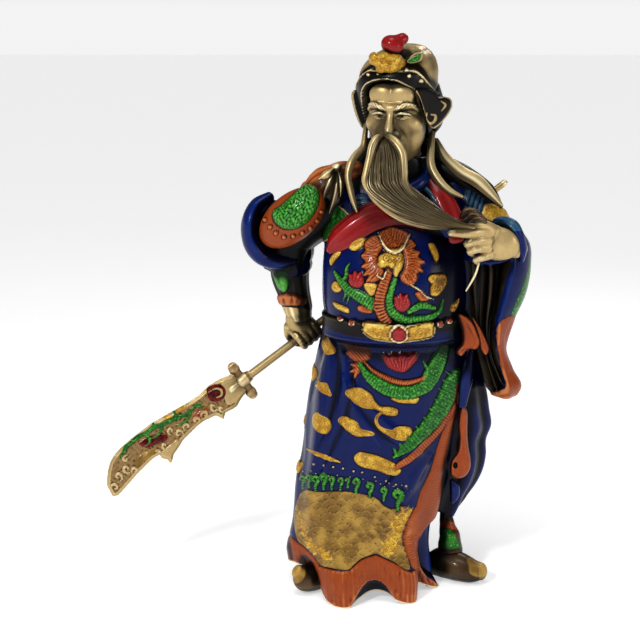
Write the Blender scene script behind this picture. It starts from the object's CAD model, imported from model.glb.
"""Enamelled cast-brass figure of a standing bearded general with his long-handled glaive."""

import math
from typing import NamedTuple

import bpy
import numpy as np
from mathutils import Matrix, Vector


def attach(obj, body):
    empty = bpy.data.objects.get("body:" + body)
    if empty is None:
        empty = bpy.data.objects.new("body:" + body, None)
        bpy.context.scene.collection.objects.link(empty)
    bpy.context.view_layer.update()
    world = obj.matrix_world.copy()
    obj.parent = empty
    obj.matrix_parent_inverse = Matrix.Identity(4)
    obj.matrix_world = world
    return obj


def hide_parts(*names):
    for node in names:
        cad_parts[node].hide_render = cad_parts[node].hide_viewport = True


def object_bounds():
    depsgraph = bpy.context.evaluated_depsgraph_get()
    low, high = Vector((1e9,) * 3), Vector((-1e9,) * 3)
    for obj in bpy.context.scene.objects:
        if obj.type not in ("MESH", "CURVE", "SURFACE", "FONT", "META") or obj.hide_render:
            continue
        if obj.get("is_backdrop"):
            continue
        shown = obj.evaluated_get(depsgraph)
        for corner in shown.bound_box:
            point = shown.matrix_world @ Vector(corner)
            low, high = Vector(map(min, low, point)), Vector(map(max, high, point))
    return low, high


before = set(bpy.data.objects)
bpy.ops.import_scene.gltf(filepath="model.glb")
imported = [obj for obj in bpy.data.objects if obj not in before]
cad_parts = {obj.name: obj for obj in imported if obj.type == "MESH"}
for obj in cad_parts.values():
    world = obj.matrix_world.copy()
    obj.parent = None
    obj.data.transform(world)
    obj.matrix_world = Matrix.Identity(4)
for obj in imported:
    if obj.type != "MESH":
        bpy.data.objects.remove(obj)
CAD_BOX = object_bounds()

# Sizes

FIGURE_HEIGHT = 0.3  # metres, floor to crest
UNIT = FIGURE_HEIGHT / 100  # every shape below is worked out in hundredths of the height
PIXELS = 640  # the reference view is square
SENSOR = 36.0  # millimetres, as is the lens
LENS = 72.73
VIEW_DISTANCE = 0.7
VIEW_ELEVATION = math.radians(12)
VIEW_CENTRE = (-0.035226, 0.0, 0.148358)
TURN = 2 * math.pi
PIXEL = 0.181  # units to a pixel of the reference view, near the figure


def mix(a, b, t):
    return a + (b - a) * t


def smooth(a, b, x):
    t = np.clip((x - a) / (b - a), 0, 1)
    return t * t * (3 - 2 * t)


# Camera, and the reference view's pixels

VIEW_UP = np.array([0, math.sin(VIEW_ELEVATION), math.cos(VIEW_ELEVATION)])
VIEW_AHEAD = np.array([0, math.cos(VIEW_ELEVATION), -math.sin(VIEW_ELEVATION)])
CAMERA_PLACE = np.array(VIEW_CENTRE) - VIEW_DISTANCE * VIEW_AHEAD
FOCAL_PIXELS = LENS / SENSOR * PIXELS


def add(name, data, place=(0, 0, 0), turn=(0, 0, 0)):
    """A new object in the scene."""
    obj = bpy.data.objects.new(name, data)
    obj.location, obj.rotation_euler = place, turn
    bpy.context.scene.collection.objects.link(obj)
    return obj


def add_camera():
    data = bpy.data.cameras.new("view")
    data.lens, data.sensor_width = LENS, SENSOR
    data.clip_start, data.clip_end = 0.01, 50
    bpy.context.scene.camera = add("view", data, CAMERA_PLACE, (math.pi / 2 - VIEW_ELEVATION, 0, 0))


add_camera()


def seen(points):
    """Where points given in units of the figure fall in the reference view, in its pixels."""
    d = np.asarray(points) * UNIT - CAMERA_PLACE
    depth = d @ VIEW_AHEAD
    x = PIXELS / 2 + FOCAL_PIXELS * d[..., 0] / depth
    y = PIXELS / 2 - FOCAL_PIXELS * (d @ VIEW_UP) / depth
    return np.stack([x, y], -1)


def sight(pixels, y):
    """The points, in units, that show at the given pixels where they lie at depth y."""
    pixels = np.asarray(pixels, float)
    right = (pixels[..., 0] - PIXELS / 2) / FOCAL_PIXELS
    up = (PIXELS / 2 - pixels[..., 1]) / FOCAL_PIXELS
    ray = VIEW_AHEAD + right[..., None] * np.array([1, 0, 0]) + up[..., None] * VIEW_UP
    far = (np.asarray(y) * UNIT - CAMERA_PLACE[1]) / ray[..., 1]
    return (CAMERA_PLACE + ray * far[..., None]) / UNIT


def in_view(rows):
    """The points, in units, of rows of pixel x, pixel y and depth."""
    rows = np.array(rows, float)
    return sight(rows[..., :2], rows[..., 2])


# Curves and surfaces

def curve(rows, t):
    """Points on the smooth curve through rows, at shares t of its spans."""
    rows, t = np.array(rows, float), np.asarray(t, float)
    ends = np.vstack([2 * rows[0] - rows[1], rows, 2 * rows[-1] - rows[-2]])
    step = np.maximum(np.linalg.norm(np.diff(ends, axis=0), axis=1) ** 0.5, 1e-4)
    spans = len(rows) - 1
    k = np.clip((t * spans).astype(int), 0, spans - 1)
    w = (t * spans - k)[..., None]
    p0, p1, p2, p3 = (ends[k + i] for i in range(4))
    d0, d1, d2 = (step[k + i][..., None] for i in range(3))
    m1 = ((p1 - p0) / d0 - (p2 - p0) / (d0 + d1) + (p2 - p1) / d1) * d1
    m2 = ((p2 - p1) / d1 - (p3 - p1) / (d1 + d2) + (p3 - p2) / d2) * d1
    return p1 + w * (m1 + w * (3 * (p2 - p1) - 2 * m1 - m2 + w * (2 * (p1 - p2) + m1 + m2)))


def level_at(levels, z):
    """Middle x, middle y, half width and half depth of a stack of level rings at heights z."""
    levels = np.array(levels, float)
    heights = levels[:, 0]
    slope = np.gradient(levels[:, 1:], heights, axis=0)
    z = np.clip(z, heights[0], heights[-1])
    k = np.clip(np.searchsorted(heights, z) - 1, 0, len(heights) - 2)
    span = (heights[k + 1] - heights[k])[..., None]
    t = (z - heights[k])[..., None] / span
    a, b, m, n = levels[k, 1:], levels[k + 1, 1:], slope[k] * span, slope[k + 1] * span
    return a + t * (m + t * (3 * (b - a) - 2 * m - n + t * (2 * (a - b) + m + n)))


def wall_point(levels, a, z, out=0.0, up=0.0):
    """A point on the wall of a stack. Angle 0 is the front, and angles grow towards +X."""
    x, y, w, d = np.moveaxis(level_at(levels, z), -1, 0)
    return np.stack([x + (w + out) * np.sin(a), y - (d + out) * np.cos(a), z + up], -1)


class Shape:
    """Points in units, faces of four corners (the last two alike in a triangle) and values per point."""

    def __init__(self, points, faces, **fields):
        self.points, self.faces = np.asarray(points, float), np.asarray(faces, int)
        self.fields = {name: np.broadcast_to(value, len(self.points)) for name, value in fields.items()}

    def field(self, name):
        """The values of a field, or what stands for it where it isn't set."""
        return self.fields.get(name, np.full(len(self.points), UNSET.get(name, 0.0)))

    def __add__(self, other):
        fields = {name: np.concatenate([self.field(name), other.field(name)])
                  for name in {**self.fields, **other.fields}}
        faces = np.vstack([self.faces, other.faces + len(self.points)])
        return Shape(np.vstack([self.points, other.points]), faces, **fields)

    def across(self):
        """The cross product of each face's diagonals, along its normal and twice as long as its area."""
        p, f = self.points, self.faces
        return np.cross(p[f[:, 2]] - p[f[:, 0]], p[f[:, 3]] - p[f[:, 1]])

    def normals(self):
        total, across = np.zeros_like(self.points), self.across()
        for corner in range(4):
            for axis in range(3):
                total[:, axis] += np.bincount(self.faces[:, corner], across[:, axis], len(total))
        return total / np.maximum(np.linalg.norm(total, axis=1), 1e-12)[:, None]


OUTSIDE = -9.0  # an enamel's value well outside its area: values over 0 are inside it
HIDDEN = 5.0  # the dark finish's value on faces that close a shape from behind
ENAMELS = ("blue", "green", "orange", "red", "gold", "brass", "dark", "tan", "pearl", "teal", "brown",
           "bronze")
UNSET = dict.fromkeys(ENAMELS, OUTSIDE)
DETAIL = 0.6  # the share of full fineness that every grid is made with


def bounded(value):
    return np.clip(value, OUTSIDE, -OUTSIDE)


def fine(count):
    return max(6, round(count * DETAIL))


def united(shapes):
    first, *rest = shapes
    return sum(rest, first)


def grid_faces(rows, columns, wrap=True):
    i = np.arange(columns if wrap else columns - 1)
    j = (i + 1) % columns
    start = (np.arange(rows - 1) * columns)[:, None]
    return np.stack([start + i, start + j, start + columns + j, start + columns + i], -1).reshape(-1, 4)


def tube(rings, **fields):
    """A closed body through rings of points, each ring anticlockwise when seen from the far end."""
    rows, columns = rings.shape[:2]
    points = np.vstack([rings.reshape(-1, 3), rings[0].mean(0), rings[-1].mean(0)])
    i = np.arange(columns)
    j = (i + 1) % columns
    first, last = rows * columns, rows * columns + 1
    top = (rows - 1) * columns
    start = np.stack([np.full(columns, first), j, i, i], -1)
    end = np.stack([np.full(columns, last), top + i, top + j, top + j], -1)
    faces = np.vstack([grid_faces(rows, columns), start, end])
    made = {}
    for name, value in fields.items():
        value = np.broadcast_to(value, (rows, columns))
        made[name] = np.concatenate([value.ravel(), [value[0].mean(), value[-1].mean()]])
    return Shape(points, faces, **made)


def patch(surface, middle, **fields):
    """A sheet of points closed behind by a dark lip and a fan to a point inside the figure."""
    shape = surface.shape[:2]
    index = np.arange(shape[0] * shape[1]).reshape(shape)
    loop = np.concatenate([index[0, :-1], index[:-1, -1], index[-1, :0:-1], index[:0:-1, 0]])
    flat = surface.reshape(-1, 3)
    points = np.vstack([flat, mix(flat[loop], np.asarray(middle, float), 0.05), [middle]])
    n = len(loop)
    i = np.arange(n)
    j = (i + 1) % n
    start = index.size
    hub = np.full(n, start + n)
    rim = np.stack([loop[j], loop[i], start + i, start + j], -1)
    fan = np.stack([start + j, start + i, hub, hub], -1)
    made = {}
    for name, value in {"dark": OUTSIDE, **fields}.items():
        behind = HIDDEN if name == "dark" else UNSET.get(name, 0.0)
        made[name] = np.concatenate([np.broadcast_to(value, shape).ravel(), np.full(n + 1, behind)])
    return Shape(points, np.vstack([grid_faces(*shape, False), rim, fan]), **made)


def limb_rings(through, half, facing=(0, -1, 0), sides=24, steps=48, ripple=None):
    """The rings of a limb, ribbon or lock: an oval section swept through points, with rounded ends.
    ripple, of the angle round it and the share along it, scales the section of half width, thickness."""
    half = np.array([list(h) + [0] for h in half], float)
    sides, steps, ends = fine(sides), fine(steps), 6
    turn = np.linspace(0, math.pi / 2, ends + 1)[:-1]
    share = np.concatenate([np.zeros(ends), np.linspace(0, 1, steps + 1), np.ones(ends)])
    size = np.maximum(np.concatenate([np.sin(turn), np.ones(steps + 1), np.sin(turn)[::-1]]), 0.02)
    reach = np.concatenate([-np.cos(turn), np.zeros(steps + 1), np.cos(turn)[::-1]])
    along = curve(through, np.minimum(1, share + 0.01)) - curve(through, np.maximum(0, share - 0.01))
    along /= np.linalg.norm(along, axis=1)[:, None]
    front = np.asarray(facing, float)
    normal = front - (along @ front)[:, None] * along
    normal /= np.linalg.norm(normal, axis=1)[:, None]
    side = np.cross(normal, along)
    w, d = curve(half, share)[:, :2].T
    centre = curve(through, share) + along * (reach * np.minimum(w, d) * 0.8)[:, None]
    a = np.arange(sides) / sides * TURN
    scale = ripple(a[None, :], share[:, None]) if ripple else 1.0
    across = (w * size)[:, None] * np.cos(a) * scale
    high = (d * size)[:, None] * np.sin(a) * scale
    return centre[:, None] + across[..., None] * side[:, None] + high[..., None] * normal[:, None]


def limb(*place, **rest):
    return tube(limb_rings(*place, **rest))


def swept(rows, *place, **rest):
    """A limb by rows of x, y, z, half width and half thickness."""
    rows = np.array(rows, float)
    return limb(rows[:, :3], rows[:, 3:], *place, **rest)


def swept_in_view(rows, *place, **rest):
    """A limb by rows of pixel x, pixel y, depth, half width and half thickness."""
    return limb(in_view(rows), np.array(rows)[:, 3:], *place, **rest)


def creased(count, deep, twist=0.0):
    """A ripple of long creases for a limb of cloth."""
    def ripple(a, t):
        return 1 + deep * (np.cos(count * a + twist * t) + 0.5 * np.cos((2 * count + 1) * a - 3.1 * t + 1))
    return ripple


def turn_matrix(turn):
    """The rotation of Euler angles x, y, z taken in that order about the moving axes."""
    (cx, cy, cz), (sx, sy, sz) = np.cos(turn), np.sin(turn)
    about_x = np.array([[1, 0, 0], [0, cx, -sx], [0, sx, cx]])
    about_y = np.array([[cy, 0, sy], [0, 1, 0], [-sy, 0, cy]])
    about_z = np.array([[cz, -sz, 0], [sz, cz, 0], [0, 0, 1]])
    return about_x @ about_y @ about_z


def ball_rings(centre, radii, turn, across, down):
    """The rings of a ball of three radii."""
    across = fine(across)
    b = np.linspace(0.02, math.pi - 0.02, fine(down))[:, None]
    a = (np.arange(across) / across * TURN)[None, :]
    unit = np.stack([np.sin(b) * np.cos(a), np.sin(b) * np.sin(a), -np.cos(b) + 0 * a], -1)
    return (unit * np.array(radii)) @ turn_matrix(turn).T + np.array(centre)


def ring_grid(levels, rings, sides):
    """The angles and heights of a grid of closed rings over a whole stack of levels."""
    sides = fine(sides)
    heights = np.linspace(levels[0][0], levels[-1][0], fine(rings))
    return np.meshgrid(np.arange(sides) / sides * TURN - math.pi, heights)


def grid_normals(points, closed=False):
    """Outward normals of a grid whose columns run anticlockwise, whether closed or not, and rows run up."""
    u = np.roll(points, -1, axis=1) - np.roll(points, 1, axis=1) if closed else np.gradient(points, axis=1)
    n = np.cross(u, np.gradient(points, axis=0))
    return n / np.maximum(np.linalg.norm(n, axis=-1), 1e-9)[..., None]


# Solid forms as distance fields, for what is modelled in the round

def join(a, b, soft):
    """The union of two distance fields, blended over the width soft."""
    h = np.clip(0.5 + 0.5 * (b - a) / soft, 0, 1)
    return mix(b, a, h) - soft * h * (1 - h)


def carve(a, b, soft):
    """Field a with b cut away, blended over the width soft."""
    return -join(-a, b, soft)


def egg(p, centre, radii, turn=(0, 0, 0)):
    q = (p - np.array(centre, float)) @ turn_matrix(turn)
    scaled = np.linalg.norm(q / np.array(radii, float), axis=-1)
    steep = np.linalg.norm(q / np.array(radii, float) ** 2, axis=-1)
    return scaled * (scaled - 1) / np.maximum(steep, 1e-6)


def rod(p, a, b, ra, rb):
    """A straight rod with round ends of two radii."""
    a, b = np.array(a, float), np.array(b, float)
    along = b - a
    t = np.clip((p - a) @ along / (along @ along), 0, 1)
    return np.linalg.norm(p - a - t[..., None] * along, axis=-1) - mix(ra, rb, t)


def worm(p, rows, radii, soft=0.0, steps=10):
    """A bent rod through rows of points, with a radius at each."""
    t = np.linspace(0, 1, steps + 1)
    points = curve(rows, t)
    sizes = curve([[r, 0, 0] for r in radii], t)[:, 0]
    made = None
    for k in range(steps):
        d = rod(p, points[k], points[k + 1], sizes[k], sizes[k + 1])
        made = d if made is None else (join(made, d, soft) if soft else np.minimum(made, d))
    return made


SURFACE_STEP = 1.3  # how much coarser the surfaces of fields are made than the steps given for them


def surface(field, low, high, step):
    """The zero surface of a distance field inside a box, as a closed mesh of quads."""
    low, high, step = np.array(low, float), np.array(high, float), np.broadcast_to(step, 3) * SURFACE_STEP
    count = np.ceil((high - low) / step).astype(int) + 1
    axes = [low[k] + step[k] * np.arange(count[k]) for k in range(3)]
    values = np.empty(count)
    for i, x in enumerate(axes[0]):
        y, z = np.meshgrid(axes[1], axes[2], indexing="ij")
        values[i] = field(np.stack([np.full_like(y, x), y, z], -1))
    size = count - 1
    total, number, quads = np.zeros((size.prod(), 3)), np.zeros(size.prod()), []
    weight = np.array([size[1] * size[2], size[2], 1])
    for axis in range(3):
        start = [slice(None)] * 3
        end = [slice(None)] * 3
        start[axis], end[axis] = slice(0, -1), slice(1, None)
        a, b = values[tuple(start)], values[tuple(end)]
        at = np.argwhere((a < 0) != (b < 0))
        one, two = (axis + 1) % 3, (axis + 2) % 3
        at = at[(at[:, one] > 0) & (at[:, two] > 0) & (at[:, one] < size[one]) & (at[:, two] < size[two])]
        va, vb = a[tuple(at.T)], b[tuple(at.T)]
        place = at.astype(float)
        place[:, axis] += va / (va - vb)
        corners = []
        for u, v in ((0, 0), (1, 0), (1, 1), (0, 1)):
            cell = at.copy()
            cell[:, one] -= u
            cell[:, two] -= v
            flat = cell @ weight
            corners.append(flat)
            number += np.bincount(flat, minlength=len(number))
            for k in range(3):
                total[:, k] += np.bincount(flat, place[:, k], len(number))
        quad = np.stack(corners, -1)
        quads.append(np.where((va < 0)[:, None], quad[:, ::-1], quad)[:, ::-1])
    used = number > 0
    order = np.cumsum(used) - 1
    points = low + total[used] / number[used][:, None] * step
    return Shape(points, order[np.vstack(quads)])


# Artwork on a wall, drawn in the reference view's pixels and laid on whatever shows there

def outline_distance(at, outline):
    """Signed distance in pixels to a closed outline, negative inside, for points near it."""
    outline = np.asarray(outline, float)
    near = np.all((at > outline.min(0) + OUTSIDE) & (at < outline.max(0) - OUTSIDE), axis=1)
    p = at[near]
    far = np.full(len(p), 1e9)
    inside = np.zeros(len(p), bool)
    for a, b in zip(outline, np.roll(outline, -1, axis=0)):
        edge = b - a
        t = np.clip((p - a) @ edge / max(edge @ edge, 1e-9), 0, 1)
        far = np.minimum(far, np.linalg.norm(p - a - t[:, None] * edge, axis=1))
        if a[1] != b[1]:
            cross = (a[1] > p[:, 1]) != (b[1] > p[:, 1])
            inside ^= cross & (p[:, 0] < a[0] + (p[:, 1] - a[1]) / (b[1] - a[1]) * edge[0])
    result = np.full(len(at), -OUTSIDE)
    result[near] = np.where(inside, -far, far)
    return bounded(result)


def rounded(outline):
    """A closed outline through the given corners, smoothed."""
    rows = np.array(outline, float)
    count, steps = len(rows), 4
    t = (2 + np.arange(count * steps) / steps) / (count + 4)
    return curve(np.vstack([rows[-2:], rows, rows[:3]]), t)


def stroke_distance(at, rows, radii):
    """Signed distance to a tapered stroke, with the length along it and the share across it."""
    rows = np.array(rows, float)
    count = max(12, int(np.linalg.norm(np.diff(rows, axis=0), axis=1).sum() / 1.5))
    t = np.linspace(0, 1, count)
    line = curve(rows, t)
    size = curve([[r, 0] for r in radii], t)[:, 0] if len(radii) > 1 else np.full(count, float(radii[0]))
    tangent = np.gradient(line, axis=0)
    tangent /= np.maximum(np.linalg.norm(tangent, axis=1), 1e-9)[:, None]
    length = np.concatenate([[0], np.cumsum(np.linalg.norm(np.diff(line, axis=0), axis=1))])
    result, along, across = np.full(len(at), -OUTSIDE), np.zeros(len(at)), np.zeros(len(at))
    reach = size.max() - OUTSIDE
    near = np.flatnonzero(np.all((at > line.min(0) - reach) & (at < line.max(0) + reach), axis=1))
    best = np.full(len(near), 1e9)
    p = at[near]
    for k in range(count):
        off = p - line[k]
        d = np.linalg.norm(off, axis=1) - size[k]
        closer = d < best
        best[closer] = d[closer]
        spot = near[closer]
        along[spot] = length[k] + off[closer] @ tangent[k]
        side = off[closer, 0] * tangent[k, 1] - off[closer, 1] * tangent[k, 0]
        across[spot] = side / max(size[k], 0.1)
    result[near] = best
    return bounded(result), along, across


class Canvas:
    """What is cast and enamelled on a wall: how far every point is raised, and which enamel it has."""

    def __init__(self, at, halo=0.45):
        self.shape, self.at, self.halo = at.shape[:-1], at.reshape(-1, 2), halo
        self.height, self.creases = np.zeros(len(self.at)), np.zeros(len(self.at))
        self.areas = {name: np.full(len(self.at), OUTSIDE) for name in ENAMELS}

    def away_from(self, centre):
        return np.linalg.norm(self.at - centre, axis=1)

    def colour(self, enamel, distance):
        """Gives the inside of a shape to one enamel."""
        for name, area in self.areas.items():
            self.areas[name] = np.minimum(area, distance)
        self.areas[enamel] = np.maximum(self.areas[enamel], -distance)

    def lay(self, enamel, distance, raised=0.0, soft=3.0, texture=None, rim=0.0, rim_raised=0.0, wash=0.0):
        """Fills the inside of a shape with an enamel, domed over soft pixels, with a brass rim. The dark
        wash lies round it where it is raised, and over it as strongly as wash says."""
        self.colour(enamel, distance)
        depth = np.clip(-distance / soft, 0, 1)
        dome = mix(1 - (1 - depth) ** 2, np.sqrt(depth), 0.25)
        inside = distance < 0
        around = self.halo * np.exp(-(distance / 1.5) ** 2) * (raised > 0.05)
        self.creases = np.where(inside, np.maximum(wash, 0.7 * around), np.maximum(self.creases, around))
        self.height = np.where(inside, np.maximum(self.height * (1 - dome), 0) + raised * dome, self.height)
        if texture is not None:
            self.height = self.height + texture * dome
        if rim:
            edge = np.abs(distance) - rim
            self.colour("brass", edge)
            self.height = np.maximum(self.height, rim_raised * np.clip(-edge / rim, 0, 1) ** 0.5)

    def fill(self, enamel, outline, raised, **rest):
        """An area with the corners of its outline left sharp."""
        self.lay(enamel, outline_distance(self.at, outline), raised, **rest)

    def blob(self, enamel, outline, raised=0.3, **rest):
        self.fill(enamel, rounded(outline), raised, **rest)

    def stroke(self, enamel, rows, radii, raised=0.4, texture=None, **rest):
        distance, along, across = stroke_distance(self.at, rows, radii)
        made = texture(along, across) if texture else None
        self.lay(enamel, distance, raised, texture=made, **rest)

    def spot(self, enamel, centre, radius, raised=0.3, **rest):
        self.lay(enamel, bounded(self.away_from(centre) - radius), raised, soft=radius, **rest)

    def ring(self, enamel, centre, radius, wide, raised):
        self.lay(enamel, bounded(np.abs(self.away_from(centre) - radius) - wide), raised, soft=wide)

    def tint(self, enamel, outline, blur=9.0):
        """Colours a place with an uneven, blurred edge, without raising it."""
        distance = outline_distance(self.at, rounded(outline))
        self.colour(enamel, (distance + hammered(self.at * 0.4, 3.0)) / blur)

    def fold(self, rows, radii, raised):
        """A soft fold of the cloth itself, under the enamel."""
        wide = [r * 3 for r in radii]
        distance = stroke_distance(self.at, rows, wide)[0]
        self.height = self.height + raised * smooth(0, 1, -distance / max(wide))

    def crease(self, rows, radii, deep, wash=0.5):
        """A valley between folds, which holds some of the dark wash."""
        share = smooth(0, 1, -stroke_distance(self.at, rows, radii)[0] / max(radii))
        self.height = self.height - deep * share
        self.creases = np.maximum(self.creases, wash * share)

    def fields(self):
        made = {name: area.reshape(self.shape) for name, area in self.areas.items()
                if area.max() > OUTSIDE + 1}
        return {**made, "crease": self.creases.reshape(self.shape)}

    def raised(self):
        return self.height.reshape(self.shape)

    def shaped(self, base, more=0.0, closed=False):
        """The grid base, with what is on the canvas raised from it."""
        return base + grid_normals(base, closed) * (self.raised() + more)[..., None]


def ribs(pitch, deep, lean=0.0):
    """Ridges across a stroke."""
    def texture(along, across):
        return deep * (0.5 + 0.5 * np.cos(TURN * (along + lean * across) / pitch)) ** 1.4 - deep
    return texture


def scales(pitch, deep):
    """Overlapping scales along a stroke."""
    def texture(along, across):
        row = np.floor(along / pitch)
        u = (across * 1.6 + 0.5 * (row % 2)) % 1 - 0.5
        v = (along / pitch) % 1
        return deep * (np.clip(1 - 2.2 * u * u, 0, 1) * (1 - v) - 0.6)
    return texture


def hammered(at, deep=0.03):
    """Small uneven bumps, as of thick paint on a casting."""
    x, y = at[:, 0], at[:, 1]
    return deep * np.sin(1.5 * x + 1.7 * np.sin(0.8 * y)) * np.sin(1.35 * y + 1.5 * np.sin(0.95 * x + 0.7))


def fine_lines(at, lean, pitch, deep):
    direction = np.array([math.cos(lean), math.sin(lean)])
    return deep * np.cos(at @ direction * TURN / pitch)


def hair_lines(canvas, centre, count, deep, curl=0.0):
    """Fine lines that spread from a point, as of a mane."""
    d = canvas.at - np.array(centre)
    far = np.hypot(*d.T)
    wave = np.arctan2(d[:, 1], d[:, 0]) * count + curl * far + 1.2 * np.sin(far * 0.35)
    return deep * (0.6 * np.cos(wave) + 0.4 * np.cos(0.43 * wave + 0.25 * far)) + hammered(canvas.at)


UNSEEN = -999.0  # a pixel far from all artwork


def drawn(rings, art, facing=0.0):
    """Rings with artwork laid on the side that faces the reference view, and its values."""
    toward = grid_normals(rings, True) @ -VIEW_AHEAD > facing
    canvas = Canvas(np.where(toward[..., None], seen(rings), UNSEEN))
    art(canvas)
    return canvas.shaped(rings, closed=True), canvas.fields()


def sample(values, u, v, p):
    """A grid of values over evenly spaced u and v, read at points by their first and last-but-one numbers."""
    i = np.clip((p[..., 0] - u[0]) / (u[1] - u[0]), 0, len(u) - 1.001)
    j = np.clip((p[..., 1] - v[0]) / (v[1] - v[0]), 0, len(v) - 1.001)
    m, n = i.astype(int), j.astype(int)
    s, t = i - m, j - n
    return mix(mix(values[m, n], values[m + 1, n], s), mix(values[m, n + 1], values[m + 1, n + 1], s), t)


def plate(outline, depth, thick, art, step=0.8):
    """A cast piece that shows the given outline, at a depth that may be a function of its pixels. It is
    made in (pixel right, pixel down, units away), with both faces domed near the edge and carved by art."""
    edge, across, soft = rounded(outline), 0.07, 3
    low, high = edge.min(0) - 3 * step, edge.max(0) + 3 * step
    u, v = (np.arange(low[k], high[k] + step, step) for k in (0, 1))
    at = np.stack(np.meshgrid(u, v, indexing="ij"), -1)
    inside = -outline_distance(at.reshape(-1, 2), edge).reshape(at.shape[:2])
    canvas = Canvas(at)
    art(canvas)
    share = np.clip(inside / soft, 0, 1)
    half = thick * np.sqrt(1 - (1 - share) ** 2) + canvas.raised() * share
    half = np.where(inside > 0, half, inside * 0.18)
    reach = half.max() + 3 * across
    made = surface(lambda p: np.abs(p[..., 2]) - sample(half, u, v, p), (*low, -reach), (*high, reach),
                   (step, step, across))
    for name, values in canvas.fields().items():
        made.fields[name] = sample(values, u, v, made.points)
    at, away = made.points[:, :2], made.points[:, 2]
    made.points = sight(at, (depth(at) if callable(depth) else depth) + away)
    return made


# Robe

ROBE = [
    [0, -3.6, -1.6, 12.4, 11.4], [4.4, -3.8, -1.6, 12.9, 11.6], [8, -3.9, -1.4, 13.0, 11.3],
    [13, -3.3, -1.2, 13.2, 10.8], [20, -2.7, -1.0, 13.2, 10.6], [28, -1.3, -0.8, 13.3, 10.6],
    [36, 0.1, -0.6, 13.7, 10.6], [44, 1.4, -0.4, 13.6, 10.6], [50, 1.8, -0.4, 12.6, 10.3],
]
HEM_LOBES = np.array([-2.35, -1.6, -0.31, 0.66, 1.35, 2.2, 3.05, TURN - 2.35])
HEM_TOP = 17
HEM_SWING = 1.5
HEM_RISE = 1.8
HEM_SWEEP = 4.2
PANEL_THICKNESS = 1.1
HEM_RIM = 0.22
# The edge of the wrapped front panel, in pixels of the reference view, from the belt to the floor.
PANEL_EDGE = [
    (455, 318), (458, 335), (463, 352), (468, 368), (471, 384), (470, 397), (459, 429), (452, 445),
    (448, 471), (441, 499), (434, 518), (425, 529), (417, 541), (416, 551), (421, 565), (427, 581),
    (431, 592),
]
BORDER_EDGE = [
    (455, 383), (453, 397), (449, 415), (444, 426), (437, 447), (430, 471), (420, 492), (416, 506),
    (407, 520), (402, 537), (405, 552), (411, 566),
]


def on_wall(levels, pixels, out=0.0):
    """The points of a stack's front wall that show at the given pixels."""
    pixels = np.asarray(pixels, float)
    y = np.full(pixels.shape[:-1], -10.0)
    for _ in range(10):
        p = sight(pixels, y)
        x, middle, w, d = np.moveaxis(level_at(levels, p[..., 2]), -1, 0)
        s = np.clip((p[..., 0] - x) / (w + out), -0.985, 0.985)
        y = mix(y, middle - (d + out) * np.sqrt(1 - s * s), 0.8)
    return sight(pixels, y)


def hem_share(z):
    return 1 - smooth(0, HEM_TOP, z)


def hem_wave(angle):
    a = np.where(angle < HEM_LOBES[0], angle + TURN, angle)
    k = np.clip(np.searchsorted(HEM_LOBES, a) - 1, 0, len(HEM_LOBES) - 2)
    low, high = HEM_LOBES[k], HEM_LOBES[k + 1]
    return np.cos(TURN * (a - low) / (high - low))


def robe_ripple(a, z):
    hem = HEM_SWING * hem_share(z) ** 1.4 * hem_wave(a)
    hang = 0.28 * smooth(4, 20, z) * (1 - smooth(36, 48, z)) * np.cos(9 * a + 0.08 * z)
    behind = smooth(1.7, 2.4, np.abs(a))
    back = 0.6 * behind * smooth(4, 16, z) * (1 - smooth(44, 49, z)) * np.cos(11 * a)
    return hem + hang + back


def robe_lift(a, z):
    over_foot = 1 - smooth(0, 0.95, np.abs(a + 1.45))
    return (HEM_RISE * (1 - hem_wave(a)) / 2 + HEM_SWEEP * over_foot) * hem_share(z) ** 3


PANEL_LINE = on_wall(ROBE, PANEL_EDGE)[::-1]


def panel_angle(z):
    """The angle of the front panel's edge at height z."""
    x, _, w, _ = np.moveaxis(level_at(ROBE, PANEL_LINE[:, 2]), -1, 0)
    angles = np.arcsin(np.clip((PANEL_LINE[:, 0] - x) / w, -1, 1))
    return np.interp(z, PANEL_LINE[:, 2], angles)


# The skirt's clouds, waves, hem and folds, then its dragon and pearls, as outlines and strokes in pixels.
SKIRT_CLOUDS = [
    [(347, 392), (352, 388), (361, 388), (367, 391), (372, 395), (375, 401), (380, 406), (391, 407),
     (398, 410), (397, 415), (388, 416), (382, 413), (375, 409), (366, 408), (358, 405),
     (351, 399)],
    [(385, 429), (391, 430), (396, 427), (403, 426), (411, 428), (412, 436), (405, 440), (396, 439),
     (388, 435)],
    [(339, 420), (343, 416), (350, 418), (358, 422), (361, 428), (371, 431), (375, 434), (366, 436),
     (358, 437), (350, 433), (344, 428)],
    [(312, 421), (313, 415), (317, 412), (323, 415), (330, 420), (332, 427), (327, 434), (320, 432),
     (314, 427)],
    [(317, 376), (321, 382), (328, 383), (330, 388), (332, 396), (326, 394), (319, 390), (315, 386),
     (318, 382)],
    [(322, 340), (328, 337), (332, 342), (336, 352), (330, 355), (324, 352)],
    [(354, 457), (359, 452), (367, 453), (376, 455), (386, 459), (394, 463), (401, 470), (398, 475),
     (389, 475), (378, 471), (369, 469), (362, 467), (356, 463)],
    [(391, 398.5), (396, 395), (405, 396), (414, 394.5), (419, 398.5), (416.5, 403), (408, 403.5),
     (398, 402.5)],
]
SKIRT_WISPS = [
    ([(389, 414), (381, 413), (377, 416), (376, 421), (379, 427), (386, 431), (392, 433)],
     [1.6, 1.3, 1.5, 1.6, 1.8, 2.6, 3.4]),
    ([(307, 449), (315, 452.5), (326, 457), (339.5, 462)], [0.8, 1.8, 2.4, 1.0]),
]
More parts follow.
